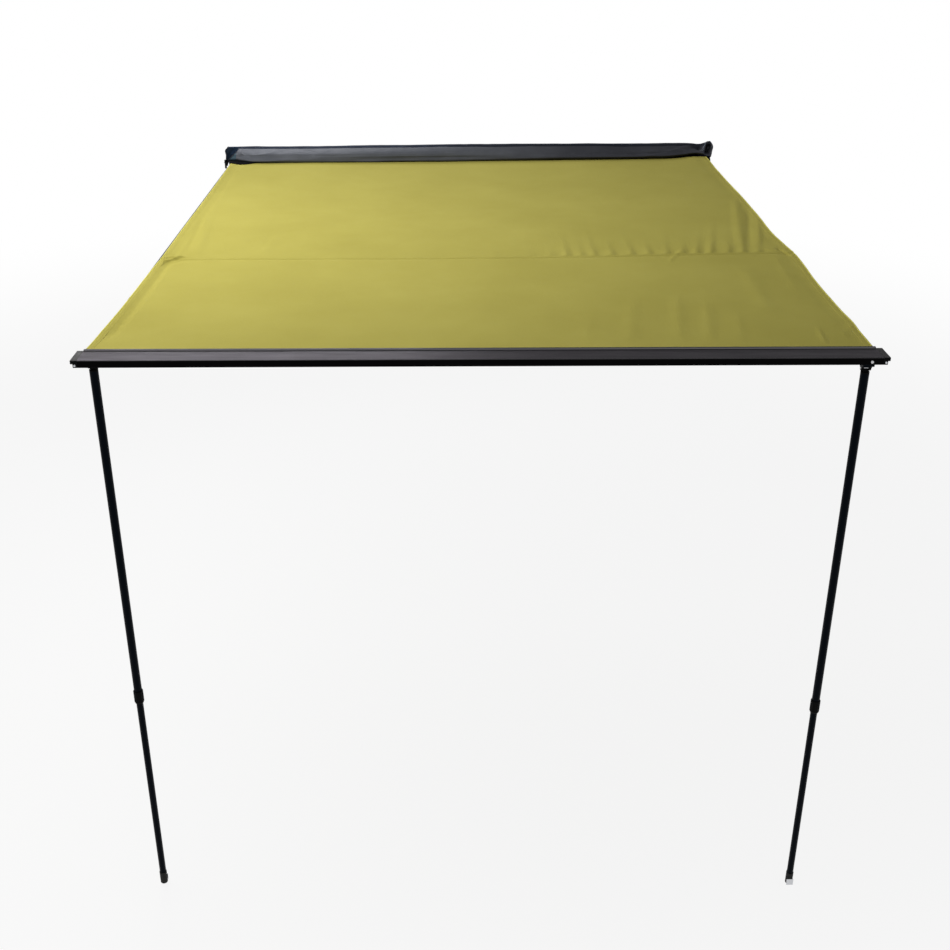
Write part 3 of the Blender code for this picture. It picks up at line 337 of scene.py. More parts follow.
# Colours of the cover as (dark, light): its front; painted light on its left part and on the facet beside the
# left seam; painted shade on its top and on its left end
COVER_FRONT_TONES = ((0.029, 0.030, 0.037), (0.044, 0.046, 0.056))
PAINTED_LIGHT_TONES = ((0.067, 0.072, 0.086), (0.083, 0.088, 0.102))
PAINTED_FACET_TONES = ((0.034, 0.060, 0.078), (0.046, 0.078, 0.100))
PAINTED_SHADE_TOP_TONES = ((0.014, 0.015, 0.019), (0.020, 0.022, 0.027))
PAINTED_SHADE_END_TONES = ((0.005, 0.008, 0.012), (0.008, 0.012, 0.018))
VINYL_TINT = (0.50, 0.52, 0.57, 1.0)
# How metallic the vinyl is, and how metallic it is where light is painted on the cover's left part
VINYL_SHINE = 0.45
PAINTED_LIGHT_SHINE = 0.22
# Lighter anodised metal: at its edges, edge wear with a painted edge highlight; where it faces up and turns
# to the front, and on the front rail's ridge, painted light
EDGE_WEAR_AND_HIGHLIGHT = (0.16, 0.16, 0.17)
PAINTED_LIGHT_SLOPE = (0.090, 0.088, 0.091)
PAINTED_LIGHT_RIDGE = (0.120, 0.118, 0.122)


def wired(tree, kind, inputs=None, **settings):
    """A new node with its settings, and with a value or a link in each of its named inputs."""
    node = tree.nodes.new(kind)
    for key, value in settings.items():
        setattr(node, key, value)
    for key, value in (inputs or {}).items():
        if isinstance(value, bpy.types.NodeSocket):
            tree.links.new(value, node.inputs[key])
        else:
            node.inputs[key].default_value = value
    return node


class Finish:
    """A procedural material: a Principled shader and the nodes that feed it."""

    def __init__(self, name, **values):
        self.material = bpy.data.materials.new(name)
        self.material.use_nodes = True
        self.tree = self.material.node_tree
        self.shader = self.tree.nodes["Principled BSDF"]
        for socket, value in values.items():
            self.shader.inputs[socket.replace("_", " ").title().replace("Ior", "IOR")].default_value = value
        self.place = self.add("ShaderNodeTexCoord").outputs["Object"]

    def add(self, kind, inputs=None, **settings):
        return wired(self.tree, kind, inputs, **settings)

    def stretched(self, scale):
        """Coordinates in metres, squeezed by a factor along each axis."""
        return self.add("ShaderNodeMapping", {"Vector": self.place, "Scale": scale}).outputs["Vector"]

    def noise(self, scale, detail, roughness=0.55, place=None):
        made = self.add("ShaderNodeTexNoise", {"Vector": place or self.place, "Scale": scale,
                                               "Detail": detail, "Roughness": roughness})
        return made.outputs["Fac"]

    def drawn_noise(self, squeeze, detail, roughness=0.55):
        """Noise that is squeezed by a factor along each axis, as for grain that runs one way."""
        return self.noise(1.0, detail, roughness, self.stretched(squeeze))

    def axis(self, name):
        return self.add("ShaderNodeSeparateXYZ", {"Vector": self.place}).outputs[name]

    def math(self, operation, first, second=0.0):
        return self.add("ShaderNodeMath", {0: first, 1: second}, operation=operation).outputs[0]

    def times(self, first, second):
        return self.math("MULTIPLY", first, second)

    def spread(self, value, low, high, new_low=0.0, new_high=1.0):
        """A value's range from low to high laid onto a new range."""
        made = self.add("ShaderNodeMapRange", {"Value": value, "From Min": low, "From Max": high,
                                               "To Min": new_low, "To Max": new_high})
        return made.outputs["Result"]

    def blend(self, share, first, second):
        """Two colours mixed, with the given share of the second."""
        first, second = ((*c, 1.0) if isinstance(c, tuple) else c for c in (first, second))
        return self.add("ShaderNodeMix", {0: share, 6: first, 7: second}, data_type="RGBA").outputs[2]

    def mottled(self, pattern, dark, light):
        """A dark and a light colour, mixed by a noise."""
        return self.blend(self.spread(pattern, 0.3, 0.7), dark, light)

    def weave(self, pitch):
        """A plain weave of crossing threads, from 0 to 1."""
        threads = self.add("ShaderNodeUVMap", uv_map="metres").outputs["UV"]
        parts = self.add("ShaderNodeSeparateXYZ", {"Vector": threads})
        turn = 2 * math.pi / pitch
        waves = [self.math("SINE", self.times(parts.outputs[i], turn)) for i in (0, 1)]
        return self.spread(self.times(*waves), -1.0, 1.0)

    def worn(self, colour, radius, share, bare):
        """A colour that goes over into a share of another at the piece's edges, where a finish rubs off; on
        the rails this lighter edge is also a painted edge highlight.
        """
        bevel = self.add("ShaderNodeBevel", {"Radius": radius}, samples=4).outputs["Normal"]
        normal = self.add("ShaderNodeNewGeometry").outputs["Normal"]
        product = self.add("ShaderNodeVectorMath", {0: bevel, 1: normal}, operation="DOT_PRODUCT")
        edges = self.spread(product.outputs["Value"], 0.995, 0.88)
        return self.blend(self.times(edges, share), colour, bare)

    def upward(self, forward=False):
        """1 where the surface faces up, or only where it also turns to the front: the faces that get painted
        light.
        """
        normal = self.add("ShaderNodeTexCoord").outputs["Normal"]
        facing = self.add("ShaderNodeSeparateXYZ", {"Vector": normal}).outputs
        up = self.spread(facing["Z"], 0.20, 0.45)
        return self.times(up, self.spread(facing["Y"], -0.25, -0.55)) if forward else up

    def bump(self, height, distance, strength, after=None):
        inputs = {"Height": height, "Distance": distance, "Strength": strength}
        if after:
            inputs["Normal"] = after
        return self.add("ShaderNodeBump", inputs).outputs["Normal"]

    def use(self, **links):
        for socket, output in links.items():
            self.tree.links.new(output, self.shader.inputs[socket.replace("_", " ").title()])
        return self.material


def cloth_finish(name, dark, light, pitch, roughness):
    """Woven, coated cloth: threads, faint marks of folding, and blotches where it fades."""
    made = Finish(name, roughness=roughness, specular_ior_level=0.03, sheen_weight=0.05,
                  sheen_roughness=0.6, sheen_tint=(1.0, 0.95, 0.6, 1.0))
    blotches = made.noise(3.1, 4.0)
    yarn = made.spread(made.drawn_noise((260, 90, 260), 2.0), 0.3, 0.7)
    weave = made.weave(pitch)
    colour = made.mottled(blotches, dark, light)
    colour = made.blend(made.times(yarn, 0.10), colour, tuple(0.72 * c for c in dark))
    colour = made.blend(made.times(weave, 0.10), colour, tuple(1.25 * c for c in light))
    crumple = made.drawn_noise((16, 16, 16), 5.0, 0.6)
    normal = made.bump(crumple, 0.0016, 0.55)
    normal = made.bump(made.noise(420.0, 2.0), 0.0002, 0.5, normal)
    normal = made.bump(weave, 0.00025, 0.6, normal)
    rubbed = made.spread(made.noise(26.0, 4.0), 0.2, 0.8, roughness - 0.07, roughness + 0.07)
    return made.use(base_color=colour, roughness=rubbed, normal=normal)


def vinyl_colour(made, dark, light):
    """Mottled bag cloth with scuffs."""
    colour = made.mottled(made.noise(9.0, 4.0), dark, light)
    scuffs = made.drawn_noise((22, 60, 60), 6.0, 0.7)
    return made.blend(made.spread(scuffs, 0.60, 0.78, 0.0, 0.30), colour, tuple(2.3 * c for c in light))


def vinyl_surface(made):
    """The bag cloth's grain and soft dents, and how satin it is."""
    dents = made.drawn_noise((13, 30, 30), 4.0, 0.5)
    normal = made.bump(dents, 0.004, 0.5)
    normal = made.bump(made.noise(650.0, 3.0, 0.6), 0.0003, 0.5, normal)
    normal = made.bump(made.weave(0.0016), 0.0001, 0.5, normal)
    return normal, made.spread(made.noise(30.0, 5.0), 0.25, 0.75, 0.34, 0.50)


def vinyl_finish(name, dark, light):
    """Coated bag cloth: satin, with a fine grain, soft dents, dust and scuffs."""
    made = Finish(name, metallic=VINYL_SHINE, specular_ior_level=0.28, specular_tint=VINYL_TINT)
    normal, satin = vinyl_surface(made)
    return made.use(base_color=vinyl_colour(made, dark, light), roughness=satin, normal=normal)


def cover_finish():
    """The bag's upper half: painted light on its left part, painted shade on its top and its left end, and a
    patch of painted light on a fold facet there.
    """
    made = Finish("cover_vinyl_grained", specular_ior_level=0.28, specular_tint=VINYL_TINT)
    place = made.add("ShaderNodeSeparateXYZ", {"Vector": made.place}).outputs
    low, high = COVER_SEAM[-1]
    slope = (high[1] - low[1]) / (high[0] - low[0])
    lean = made.times(made.math("SUBTRACT", place["Z"], FABRIC_Z + low[0]), slope)
    past = made.math("SUBTRACT", made.math("SUBTRACT", place["X"], low[1]), lean)
    # end: left of the left seam, painted shade
    end = made.spread(past, 0.0, -SEAM_BLUR)
    # Between the left seam and the facet's edge: a bluer patch of painted light
    painted_facet = made.spread(place["X"], PAINTED_FACET_EDGE, PAINTED_FACET_EDGE - PAINTED_FACET_BLUR)
    # top: the cover's top, painted shade
    top = made.spread(place["Y"], PAINTED_SHADE_TOP_EDGE - PAINTED_SHADE_TOP_BLUR, PAINTED_SHADE_TOP_EDGE)
    # The cover's left part: painted light
    painted_light = made.spread(place["X"], PAINTED_LIGHT_END, PAINTED_LIGHT_START)
    # black: the painted shade on the top and on the left end
    black = made.math("MAXIMUM", top, end)
    colour = vinyl_colour(made, *COVER_FRONT_TONES)
    for share, tones in ((painted_light, PAINTED_LIGHT_TONES), (painted_facet, PAINTED_FACET_TONES), (top, PAINTED_SHADE_TOP_TONES), (end, PAINTED_SHADE_END_TONES)):
        colour = made.blend(share, colour, vinyl_colour(made, *tones))
    normal, satin = vinyl_surface(made)
    # The painted light and shade also make the vinyl rougher there, and change how metallic it is
    satin = made.math("ADD", satin, made.times(made.math("MAXIMUM", painted_light, black), 0.14))
    metallic = made.math("MAXIMUM", made.spread(painted_light, 0.0, 1.0, VINYL_SHINE, PAINTED_LIGHT_SHINE), black)
    return made.use(base_color=colour, roughness=satin, metallic=metallic, normal=normal)


def tape_finish():
    """Black woven zip tape and thread."""
    made = Finish("zip_tape_weave", roughness=0.85, specular_ior_level=0.05)
    threads = made.drawn_noise((900, 250, 250), 2.0)
    colour = made.mottled(threads, (0.002, 0.002, 0.0025), (0.008, 0.008, 0.0095))
    return made.use(base_color=colour, normal=made.bump(threads, 0.0003, 0.7))


def anodised_finish(name, dark, light, ridge=None):
    """Anodised extrusion: fine lines along its length, faint blotches, lighter edges from wear and a painted
    edge highlight, and painted light where it faces up and forward and on the ridge.
    """
    made = Finish(name, metallic=1.0, roughness=0.42, specular_tint=(0.80, 0.78, 0.81, 1.0))
    lines = made.drawn_noise((1.3, 900, 900), 4.0, 0.65)
    colour = made.mottled(made.noise(5.0, 4.0), dark, light)
    colour = made.blend(made.spread(lines, 0.35, 0.75, 0.0, 0.3), colour, tuple(3.0 * c for c in light))
    # Lighter edges: wear, and a painted edge highlight
    colour = made.worn(colour, 0.0006, 0.18, EDGE_WEAR_AND_HIGHLIGHT)
    # rubbed: the faces that turn up and to the front, where light is painted
    rubbed = made.upward(forward=True)
    colour = made.blend(made.times(rubbed, 0.8), colour, PAINTED_LIGHT_SLOPE)
    # The top of the front rail's ridge: painted light
    if ridge is not None:
        behind = made.spread(made.axis("Y"), ridge - 0.0002, ridge + 0.0002)
        colour = made.blend(made.times(rubbed, behind), colour, PAINTED_LIGHT_RIDGE)
    grain = made.bump(lines, 0.00012, 0.3)
    grain = made.bump(made.noise(1500.0, 2.0), 0.00006, 0.5, grain)
    satin = made.spread(made.drawn_noise((7, 60, 60), 4.0), 0.3, 0.7, 0.38, 0.47)
    return made.use(base_color=colour, roughness=satin, normal=grain)


def coated_finish():
    """Black powder coat over a drawn tube, with the marks of sliding along its length."""
    made = Finish("coated_tube_textured", roughness=0.34, specular_ior_level=0.06,
                  specular_tint=(0.50, 0.68, 1.0, 1.0))
    peel = made.noise(700.0, 3.0, 0.6)
    drag = made.drawn_noise((500, 500, 9), 4.0, 0.7)
    colour = made.blend(made.spread(drag, 0.35, 0.75), (0.0007, 0.0009, 0.0012), (0.0020, 0.0024, 0.0032))
    colour = made.worn(colour, 0.0005, 0.30, (0.05, 0.052, 0.06))
    normal = made.bump(peel, 0.0002, 0.35)
    satin = made.spread(drag, 0.3, 0.75, 0.28, 0.42)
    return made.use(base_color=colour, roughness=satin, normal=normal)


def plastic_finish(name, rubbed):
    """Moulded black plastic with a fine spark-eroded grain, lighter where its edges wear, and with a share of
    painted light on its top.
    """
    made = Finish(name, roughness=0.5, specular_ior_level=0.05)
    grain = made.noise(1100.0, 3.0, 0.7)
    flow = made.noise(40.0, 4.0)
    colour = made.mottled(flow, (0.0008, 0.0008, 0.0010), (0.0022, 0.0022, 0.0025))
    colour = made.worn(colour, 0.0006, 0.1, (0.030, 0.030, 0.032))
    # rubbed: the share of painted light, a lighter grey, on the piece's top
    colour = made.blend(made.times(made.upward(), rubbed), colour, (0.075, 0.073, 0.074))
    return made.use(base_color=colour, roughness=made.spread(flow, 0.3, 0.7, 0.44, 0.58),
                    normal=made.bump(grain, 0.00018, 0.6))


def rubber_finish():
    """Foot rubber, matt and dusty towards the ground."""
    made = Finish("black_rubber_dusty", roughness=0.8, specular_ior_level=0.3)
    low = made.spread(made.axis("Z"), GROUND + 0.02, GROUND)
    dust = made.times(made.spread(made.noise(160.0, 4.0), 0.35, 0.7), low)
    colour = made.blend(made.times(dust, 0.5), (0.010, 0.010, 0.010), (0.085, 0.080, 0.072))
    normal = made.bump(made.noise(900.0, 3.0), 0.0003, 0.6)
    return made.use(base_color=colour, roughness=made.spread(dust, 0.0, 1.0, 0.72, 0.92), normal=normal)


def steel_finish():
    """Brushed stainless steel with small scratches."""
    made = Finish("stainless_steel_brushed", metallic=1.0, roughness=0.28)
    brushed = made.drawn_noise((1800, 1800, 180), 4.0, 0.7)
    scratched = made.drawn_noise((160, 900, 300), 5.0, 0.75)
    colour = made.mottled(brushed, (0.52, 0.53, 0.55), (0.68, 0.69, 0.71))
    return made.use(base_color=colour, roughness=made.spread(scratched, 0.35, 0.7, 0.20, 0.40),
                    normal=made.bump(brushed, 0.00006, 0.5))


def mill_finish():
    """Bare extruded aluminium: dull, with drawing lines and stains."""
    made = Finish("mill_aluminium_drawn", metallic=1.0, roughness=0.42)
    lines = made.drawn_noise((6, 800, 800), 4.0, 0.7)
    colour = made.mottled(made.noise(55.0, 5.0), (0.45, 0.45, 0.46), (0.60, 0.60, 0.61))
    return made.use(base_color=colour, roughness=made.spread(lines, 0.3, 0.7, 0.34, 0.52),
                    normal=made.bump(lines, 0.0001, 0.5))


FABRIC = cloth_finish("canopy_cloth_woven", (0.368, 0.326, 0.066), (0.408, 0.364, 0.079), 0.0011, 0.85)
THREAD = cloth_finish("canopy_thread", (0.350, 0.310, 0.065), (0.390, 0.345, 0.077), 0.0004, 0.80)
EDGING = cloth_finish("canopy_edge_cord_twisted", (0.560, 0.520, 0.100), (0.660, 0.610, 0.140), 0.0009, 0.75)
COVER_VINYL = cover_finish()
VINYL = vinyl_finish("flap_vinyl_grained", (0.022, 0.023, 0.030), (0.036, 0.038, 0.049))
# A lighter blue-grey cord, used in the seam at the cover's right end
PIPING = vinyl_finish("cover_piping_lighter_blue", (0.075, 0.090, 0.115), (0.115, 0.135, 0.165))
TAPE = tape_finish()
ANODISED = anodised_finish("anodised_rail_drawn", (0.0014, 0.0013, 0.0014), (0.0026, 0.0025, 0.0026),
                           ridge=REAR - RIDGE)
ANODISED_BACK = anodised_finish("anodised_back_rail_drawn", (0.0090, 0.0088, 0.0092),
                                (0.0130, 0.0128, 0.0132))
COATED = coated_finish()
PLASTIC = plastic_finish("black_plastic_moulded", 0.0)
# End caps with painted light on their tops
CAP_PLASTIC_LIT_TOP = plastic_finish("end_cap_plastic_painted_top_light", 0.35)
RUBBER = rubber_finish()
STEEL = steel_finish()
MILL = mill_finish()


def edge_x(back, side):
    return curve(LEFT_EDGE if side == "left" else RIGHT_EDGE, back)


def canopy_height(x, back):
    """How far the cloth stands over or under the straight plane between the two rails."""
    t = back / SPAN
    left, right = edge_x(back, "left"), edge_x(back, "right")
    share = (x - left) / (right - left)
    held = eased(t / GRIP) * eased((1 - t) / GRIP)
    # The sag is deepest in the middle, both ways
    height = -SAG * 4 * t * (1 - t) * (0.45 + 2.2 * share * (1 - share))
    raised = TWIST * t * np.clip((x - TWIST_FROM) / TWIST_OVER, 0, 1) ** 1.2
    raised = raised + (CORNER_LIFT * hump(x - CORNER_AT[0], CORNER_SIZE[0])
                       * hump(back - CORNER_AT[1], CORNER_SIZE[1]))
    height += raised * (1 - eased((t - LIFT_END) / LIFT_FADE))
    # The left hem curls up, most in front of the seam, with a hollow beside it
    beside = 0.030 + 0.006 * eased((back - 0.8) / 0.4)
    curl = eased((back - 0.05) / 0.10) * (1 - 0.72 * eased((back - 0.74) / 0.08))
    height += curl * relief(x - left, (LEFT_ROLL, (*LEFT_HOLLOW, beside))) + relief(right - x, RIGHT_RELIEF)
    off = back - curve(SEAM, x)
    height += relief(off, SEAM_RELIEF)
    for start, end, width, tall in FOLDS:
        height = height + fold(x, back, start, end, width, tall)
    for place, tall, length in PUCKERS:
        bend = place + PUCKER_LEAN * eased((place - 0.5) / 0.2) * off
        reach = np.exp(-np.clip(off - PUCKER_TOP, 0, None) / length) * eased(off / PUCKER_RISE)
        height = height + tall * reach * relief(x - bend, PUCKER_RELIEF)
    height += sum(tall * rough(x, back, size, seed) for tall, size, seed in UNEVEN)
    # The bead's loop lifts the cloth a little where it leaves the front rail
    return FABRIC_Z + held * height + 0.0008 * hump(back, 0.012) * eased(back / 0.004)


def canopy_surface(x, back):
    return np.stack([x, REAR + back, canopy_height(x, back)], -1)


def loop(centre_y, facing, x):
    """The cloth's end wrapped round inside a keder groove."""
    rows = []
    for angle in np.radians(np.linspace(facing + 330, facing, 10)):
        y, z = centre_y + BEAD_RADIUS * math.cos(angle), FABRIC_Z + BEAD_RADIUS * math.sin(angle)
        rows.append(np.stack([x, np.full_like(x, y), np.full_like(x, z)], -1))
    return rows


def finely(*stretches):
    """Places along a line, from stretches of (start, stop, spacing)."""
    places = [np.linspace(a, b, max(2, round((b - a) / gap) + 1))[:-1] for a, b, gap in stretches]
    return np.append(np.concatenate(places), stretches[-1][1])


# The canopy's grid: distances behind the front rail, and shares of its width, finer where it is creased
BACKS = finely((0.0, 0.024, 0.003), (0.024, 0.78, 0.020), (0.78, 0.90, 0.0035), (0.90, 1.30, 0.011),
               (1.30, SPAN - 0.10, 0.024), (SPAN - 0.10, SPAN, 0.005))
SHARES = finely((0.0, 0.030, 0.0016), (0.030, 0.60, 0.0060), (0.60, 0.96, 0.0027), (0.96, 1.0, 0.0017))


def build_canopy():
    """One stretched cloth from groove to groove."""
    left, right = edge_x(BACKS, "left"), edge_x(BACKS, "right")
    x = left[:, None] + (right - left)[:, None] * SHARES[None]
    rows = [canopy_surface(line, np.full_like(line, back)) for line, back in zip(x, BACKS)]
    front_loop = loop(REAR - BEAD_DEPTH, 0, x[0])
    back_loop = loop(NOSE + BEAD_DEPTH, 180, x[-1])
    return cloth("canopy_cloth", np.array(front_loop + rows + back_loop[::-1]), CLOTH_THICKNESS, FABRIC)


def hem(side):
    """The cloth folded round its side edge, as one thin strip."""
    inward = 1 if side == "left" else -1
    edge = edge_x(BACKS, side)
    inset = [0.0, 0.25, 0.5, 0.75, 1.0]
    section = [(HEM_WIDTH * (1 - s), HEM_OFFSET * (0.2 + 0.8 * s)) for s in inset]
    section += [(-0.0007, 0.0004), (-0.0009, 0.0), (-0.0007, -0.0004)]
    section += [(HEM_WIDTH * s, -HEM_OFFSET * (1 - 0.8 * s)) for s in inset]
    columns = []
    for out, lift in section:
        line = canopy_surface(edge + inward * max(out, 0.0), BACKS)
        line[:, 0] += inward * min(out, 0.0)
        line[:, 2] += lift
        columns.append(line)
    return cloth(f"canopy_hem_{side}", np.stack(columns, 1), HEM_THICKNESS, FABRIC)


def edge_cord(side):
    """The lighter cord that is sewn into the hem's outer edge."""
    outward = -1 if side == "left" else 1
    path = canopy_surface(edge_x(BACKS, side), BACKS) + (0.5 * outward * EDGE_CORD_RADIUS, 0, 0)
    path = path[(BACKS > EDGE_CORD_GAP) & (BACKS < SPAN - EDGE_CORD_GAP)]
    return cord_mesh(f"canopy_edge_cord_{side}", path, EDGE_CORD_RADIUS, EDGING, sides=8)


STITCH_PITCH = 0.0042
STITCH_HALF = (0.0015, 0.00032, 0.00028)
# The rows of stitches: how far in from the hem's inner edge and how high, and how far from the seam
HEM_STITCHES = ((HEM_WIDTH - 0.0025, 0.0004), (HEM_WIDTH - 0.0085, 0.0006))
SEAM_STITCHES = (-0.006, 0.006)
SEAM_STITCH_LIFT = 0.0003
SEAM_STITCH_ENDS = (-0.955, 0.975)


def stitch_row(places, lift):
    """Stitches along a line on the cloth."""
    path = canopy_surface(places[:, 0], places[:, 1])
    length = measured(path)
    at = np.arange(STITCH_PITCH, length[-1] - STITCH_PITCH, STITCH_PITCH)
    x = np.interp(at, length, places[:, 0])
    back = np.interp(at, length, places[:, 1])
    step = 0.001
    centre = canopy_surface(x, back)
    slope_x = canopy_surface(x + step, back) - centre
    slope_y = canopy_surface(x, back + step) - centre
    up = np.cross(slope_x, slope_y)
    up /= np.linalg.norm(up, axis=1)[:, None]
    run = along_path(at + step, length, path) - along_path(at - step, length, path)
    run /= np.linalg.norm(run, axis=1)[:, None]
    return centre + up * lift, (run, np.cross(up, run), up)


def build_stitching():
    """The rows of stitches along both hems and the seam, as one piece."""
    lines = []
    for side, inward in (("left", 1), ("right", -1)):
        for inset, lift in HEM_STITCHES:
            lines.append((np.stack([edge_x(BACKS, side) + inward * inset, BACKS], 1), lift))
    x = np.linspace(*SEAM_STITCH_ENDS, 300)
    for offset in SEAM_STITCHES:
        lines.append((np.stack([x, curve(SEAM, x) + offset], 1), SEAM_STITCH_LIFT))
    found = [stitch_row(places, lift) for places, lift in lines]
    centres = np.concatenate([c for c, _ in found])
    axes = [np.concatenate([a[i] for _, a in found]) for i in range(3)]
    return blocks("canopy_stitching", centres, axes, STITCH_HALF, THREAD)


canopy = build_canopy()
hems = [hem("left"), hem("right"), edge_cord("left"), edge_cord("right")]
stitching = build_stitching()
for piece in [canopy, *hems, stitching]:
    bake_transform(piece)
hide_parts("canopy")

# Cover, along x: the height over the cloth of its top and its lip, where its front is, and how much
# the front bulges over the lip
COVER_TOP = ((-1.0, 0.0480), (-0.957, 0.0490), (-0.70, 0.0506), (-0.285, 0.0565), (0.025, 0.0597),
             (0.44, 0.0624), (0.75, 0.0624), (0.93, 0.0626), (0.960, 0.0605), (0.980, 0.0665),
             (0.999, 0.0712), (1.004, 0.0690))
COVER_LIP = ((-1.0, 0.0040), (-0.95, 0.0060), (-0.91, 0.0042), (-0.86, 0.0015), (-0.70, 0.0012),
             (-0.285, 0.0022), (0.025, 0.0045), (0.437, 0.0092), (0.75, 0.0131), (0.84, 0.0160),
             (0.90, 0.0230), (0.955, 0.0275), (0.985, 0.0200), (1.004, 0.0165))
COVER_FRONT = ((-1.0, -0.094), (-0.965, -0.104), (-0.90, -0.122), (-0.70, -0.122), (-0.285, -0.110),
               (0.2, -0.098), (0.70, -0.095), (0.90, -0.090), (0.955, -0.084), (0.985, -0.092),
               (1.004, -0.093))
COVER_ROLL = ((-1.0, 0.000), (-0.86, 0.006), (-0.75, 0.003), (-0.5, -0.002), (0.0, -0.002), (0.3, 0.002),
              (0.55, 0.006), (0.85, 0.006), (0.955, 0.001), (1.004, 0.0))
COVER_END = 0.999
# How far each end of the cover stands inwards, by height over the cloth; below 0 it leans outwards
COVER_LEAN = {
    -1: ((-0.01, 0.011), (0.010, 0.008), (0.024, 0.0065), (0.036, 0.0025), (0.042, 0.0045), (0.050, 0.016)),
    1: ((-0.01, -0.002), (0.020, -0.004), (0.040, -0.008), (0.060, -0.013), (0.075, -0.004)),
}
# How far the front turns back at the cover's left end, and how deep the hollow in its right end is
LEFT_TURN = 0.016
RIGHT_DISH = 0.030
# Soft dents in the cover: height, how much they are drawn out round its girth, size, place in the noise
COVER_DENTS = ((0.0016, 0.35, 0.19, 21.0), (0.0010, 0.30, 0.075, 23.0), (0.0005, 0.25, 0.03, 27.0))
# Creases in the cover: start and end as (x, share of the girth), width, height
COVER_CREASES = (
    ((0.968, 0.36), (0.80, 0.70), 0.016, 0.0030),
    ((0.972, 0.55), (0.70, 0.80), 0.014, 0.0026),
    ((0.955, 0.62), (0.60, 0.72), 0.012, -0.0024),
    ((0.950, 0.40), (0.86, 0.48), 0.014, -0.0034),
    ((0.960, 0.66), (0.990, 0.34), 0.009, 0.0048),
    ((0.950, 0.72), (0.958, 0.40), 0.008, -0.0040),
    ((0.958, 0.74), (0.998, 0.88), 0.010, 0.0030),
    ((-0.925, 0.46), (-0.952, 0.84), 0.008, 0.0036),
    ((-0.905, 0.50), (-0.880, 0.84), 0.014, -0.0036),
    ((-0.935, 0.84), (-0.72, 0.76), 0.016, 0.0028),
    ((-0.88, 0.60), (-0.78, 0.50), 0.014, 0.0020),
    ((-0.918, 0.72), (-0.80, 0.70), 0.016, 0.0036),
    ((-0.948, 0.46), (-0.912, 0.62), 0.010, 0.0032),
    ((-0.68, 0.58), (0.02, 0.62), 0.020, 0.0016),
    ((-0.60, 0.70), (0.10, 0.74), 0.018, -0.0014),
    ((0.10, 0.82), (0.72, 0.80), 0.020, 0.0012),
)
VINYL_THICKNESS = 0.0009
TAPE_THICKNESS = 0.0006
PIPING_RADIUS = 0.0017
SEAM_CORD_RADIUS = 0.0016
# Where the zip runs on past the cover's left end, to its slider
ZIP_START = ((-0.9985, -0.0935, FABRIC_Z + 0.0005), (-0.9930, -0.0948, FABRIC_Z),
             (-0.9898, -0.0958, FABRIC_Z), (-0.9860, -0.0970, FABRIC_Z))
# From the zip to its tape's inner and outer edge
TAPE_INNER = (0, 0.011, 0.0035)
TAPE_OUTER = (0, -0.003, -0.0022)
# Where the tape lies slack on the cloth, its right end too: x, width, how far it stands forward there; laid
# forward, the black tape also stands in for the dark shadow under the bag's lip
ZIP_SLACK = (-0.935, 0.062, 0.042)
ZIP_TONGUE = (0.992, 0.026, 0.018)
# How high the slack tape lies over the cloth's middle plane
TAPE_LIFT = 0.0022
# How far each end of the tape hangs down beside the cloth, and where along x it begins and ends to
RIGHT_DROP = 0.020
RIGHT_DROP_AT = (0.984, 0.991)
LEFT_DROP = 0.015
LEFT_DROP_AT = (-0.9900, -0.9880)
LEFT_DROP_END = (-0.9795, -0.9825)
# A zip's teeth: pitch, half sizes, and how much of the tape at its ends has none
TOOTH_PITCH = 0.0016
TOOTH_HALF = (0.0005, 0.0016, 0.0008)
TOOTH_GAP = 0.004
# The hem that holds the cover in the back rail's groove: where it is, and its height over the cloth
HEM_Y = BACK_HIGH.y - 0.006
HEM_H = BACK_HIGH.z - 0.0043 - FABRIC_Z


def cover_section(x, count):
    """The cover's section at x as (y, height over the cloth), from its hem over the top to its lip."""
    lines = (COVER_TOP, COVER_LIP, COVER_FRONT, COVER_ROLL)
    top, lip, front, roll = (float(curve(line, x)) for line in lines)
    tall = top - lip
    points = np.array([
        (HEM_Y, HEM_H), (HEM_Y, HEM_H + 0.006), (-0.0095, top - 0.0125), (-0.020, top - 0.0045),
        (-0.034, top - 0.0008), (-0.050, top - 0.0004), (-0.064, top - 0.0034), (front + 0.016, top - 0.0165),
        (front + 0.0080, lip + 0.53 * tall), (front + 0.0035, lip + 0.38 * tall),
        (front + 0.0005 - roll, lip + 0.22 * tall), (front - 0.5 * roll, lip + 0.09 * tall),
        (front + 0.004, lip), (front + 0.012, lip + 0.002),
    ])
    return spline(points, count)


def seam_x(height, side):
    return np.interp(height, *np.array(COVER_SEAM[side]).T)


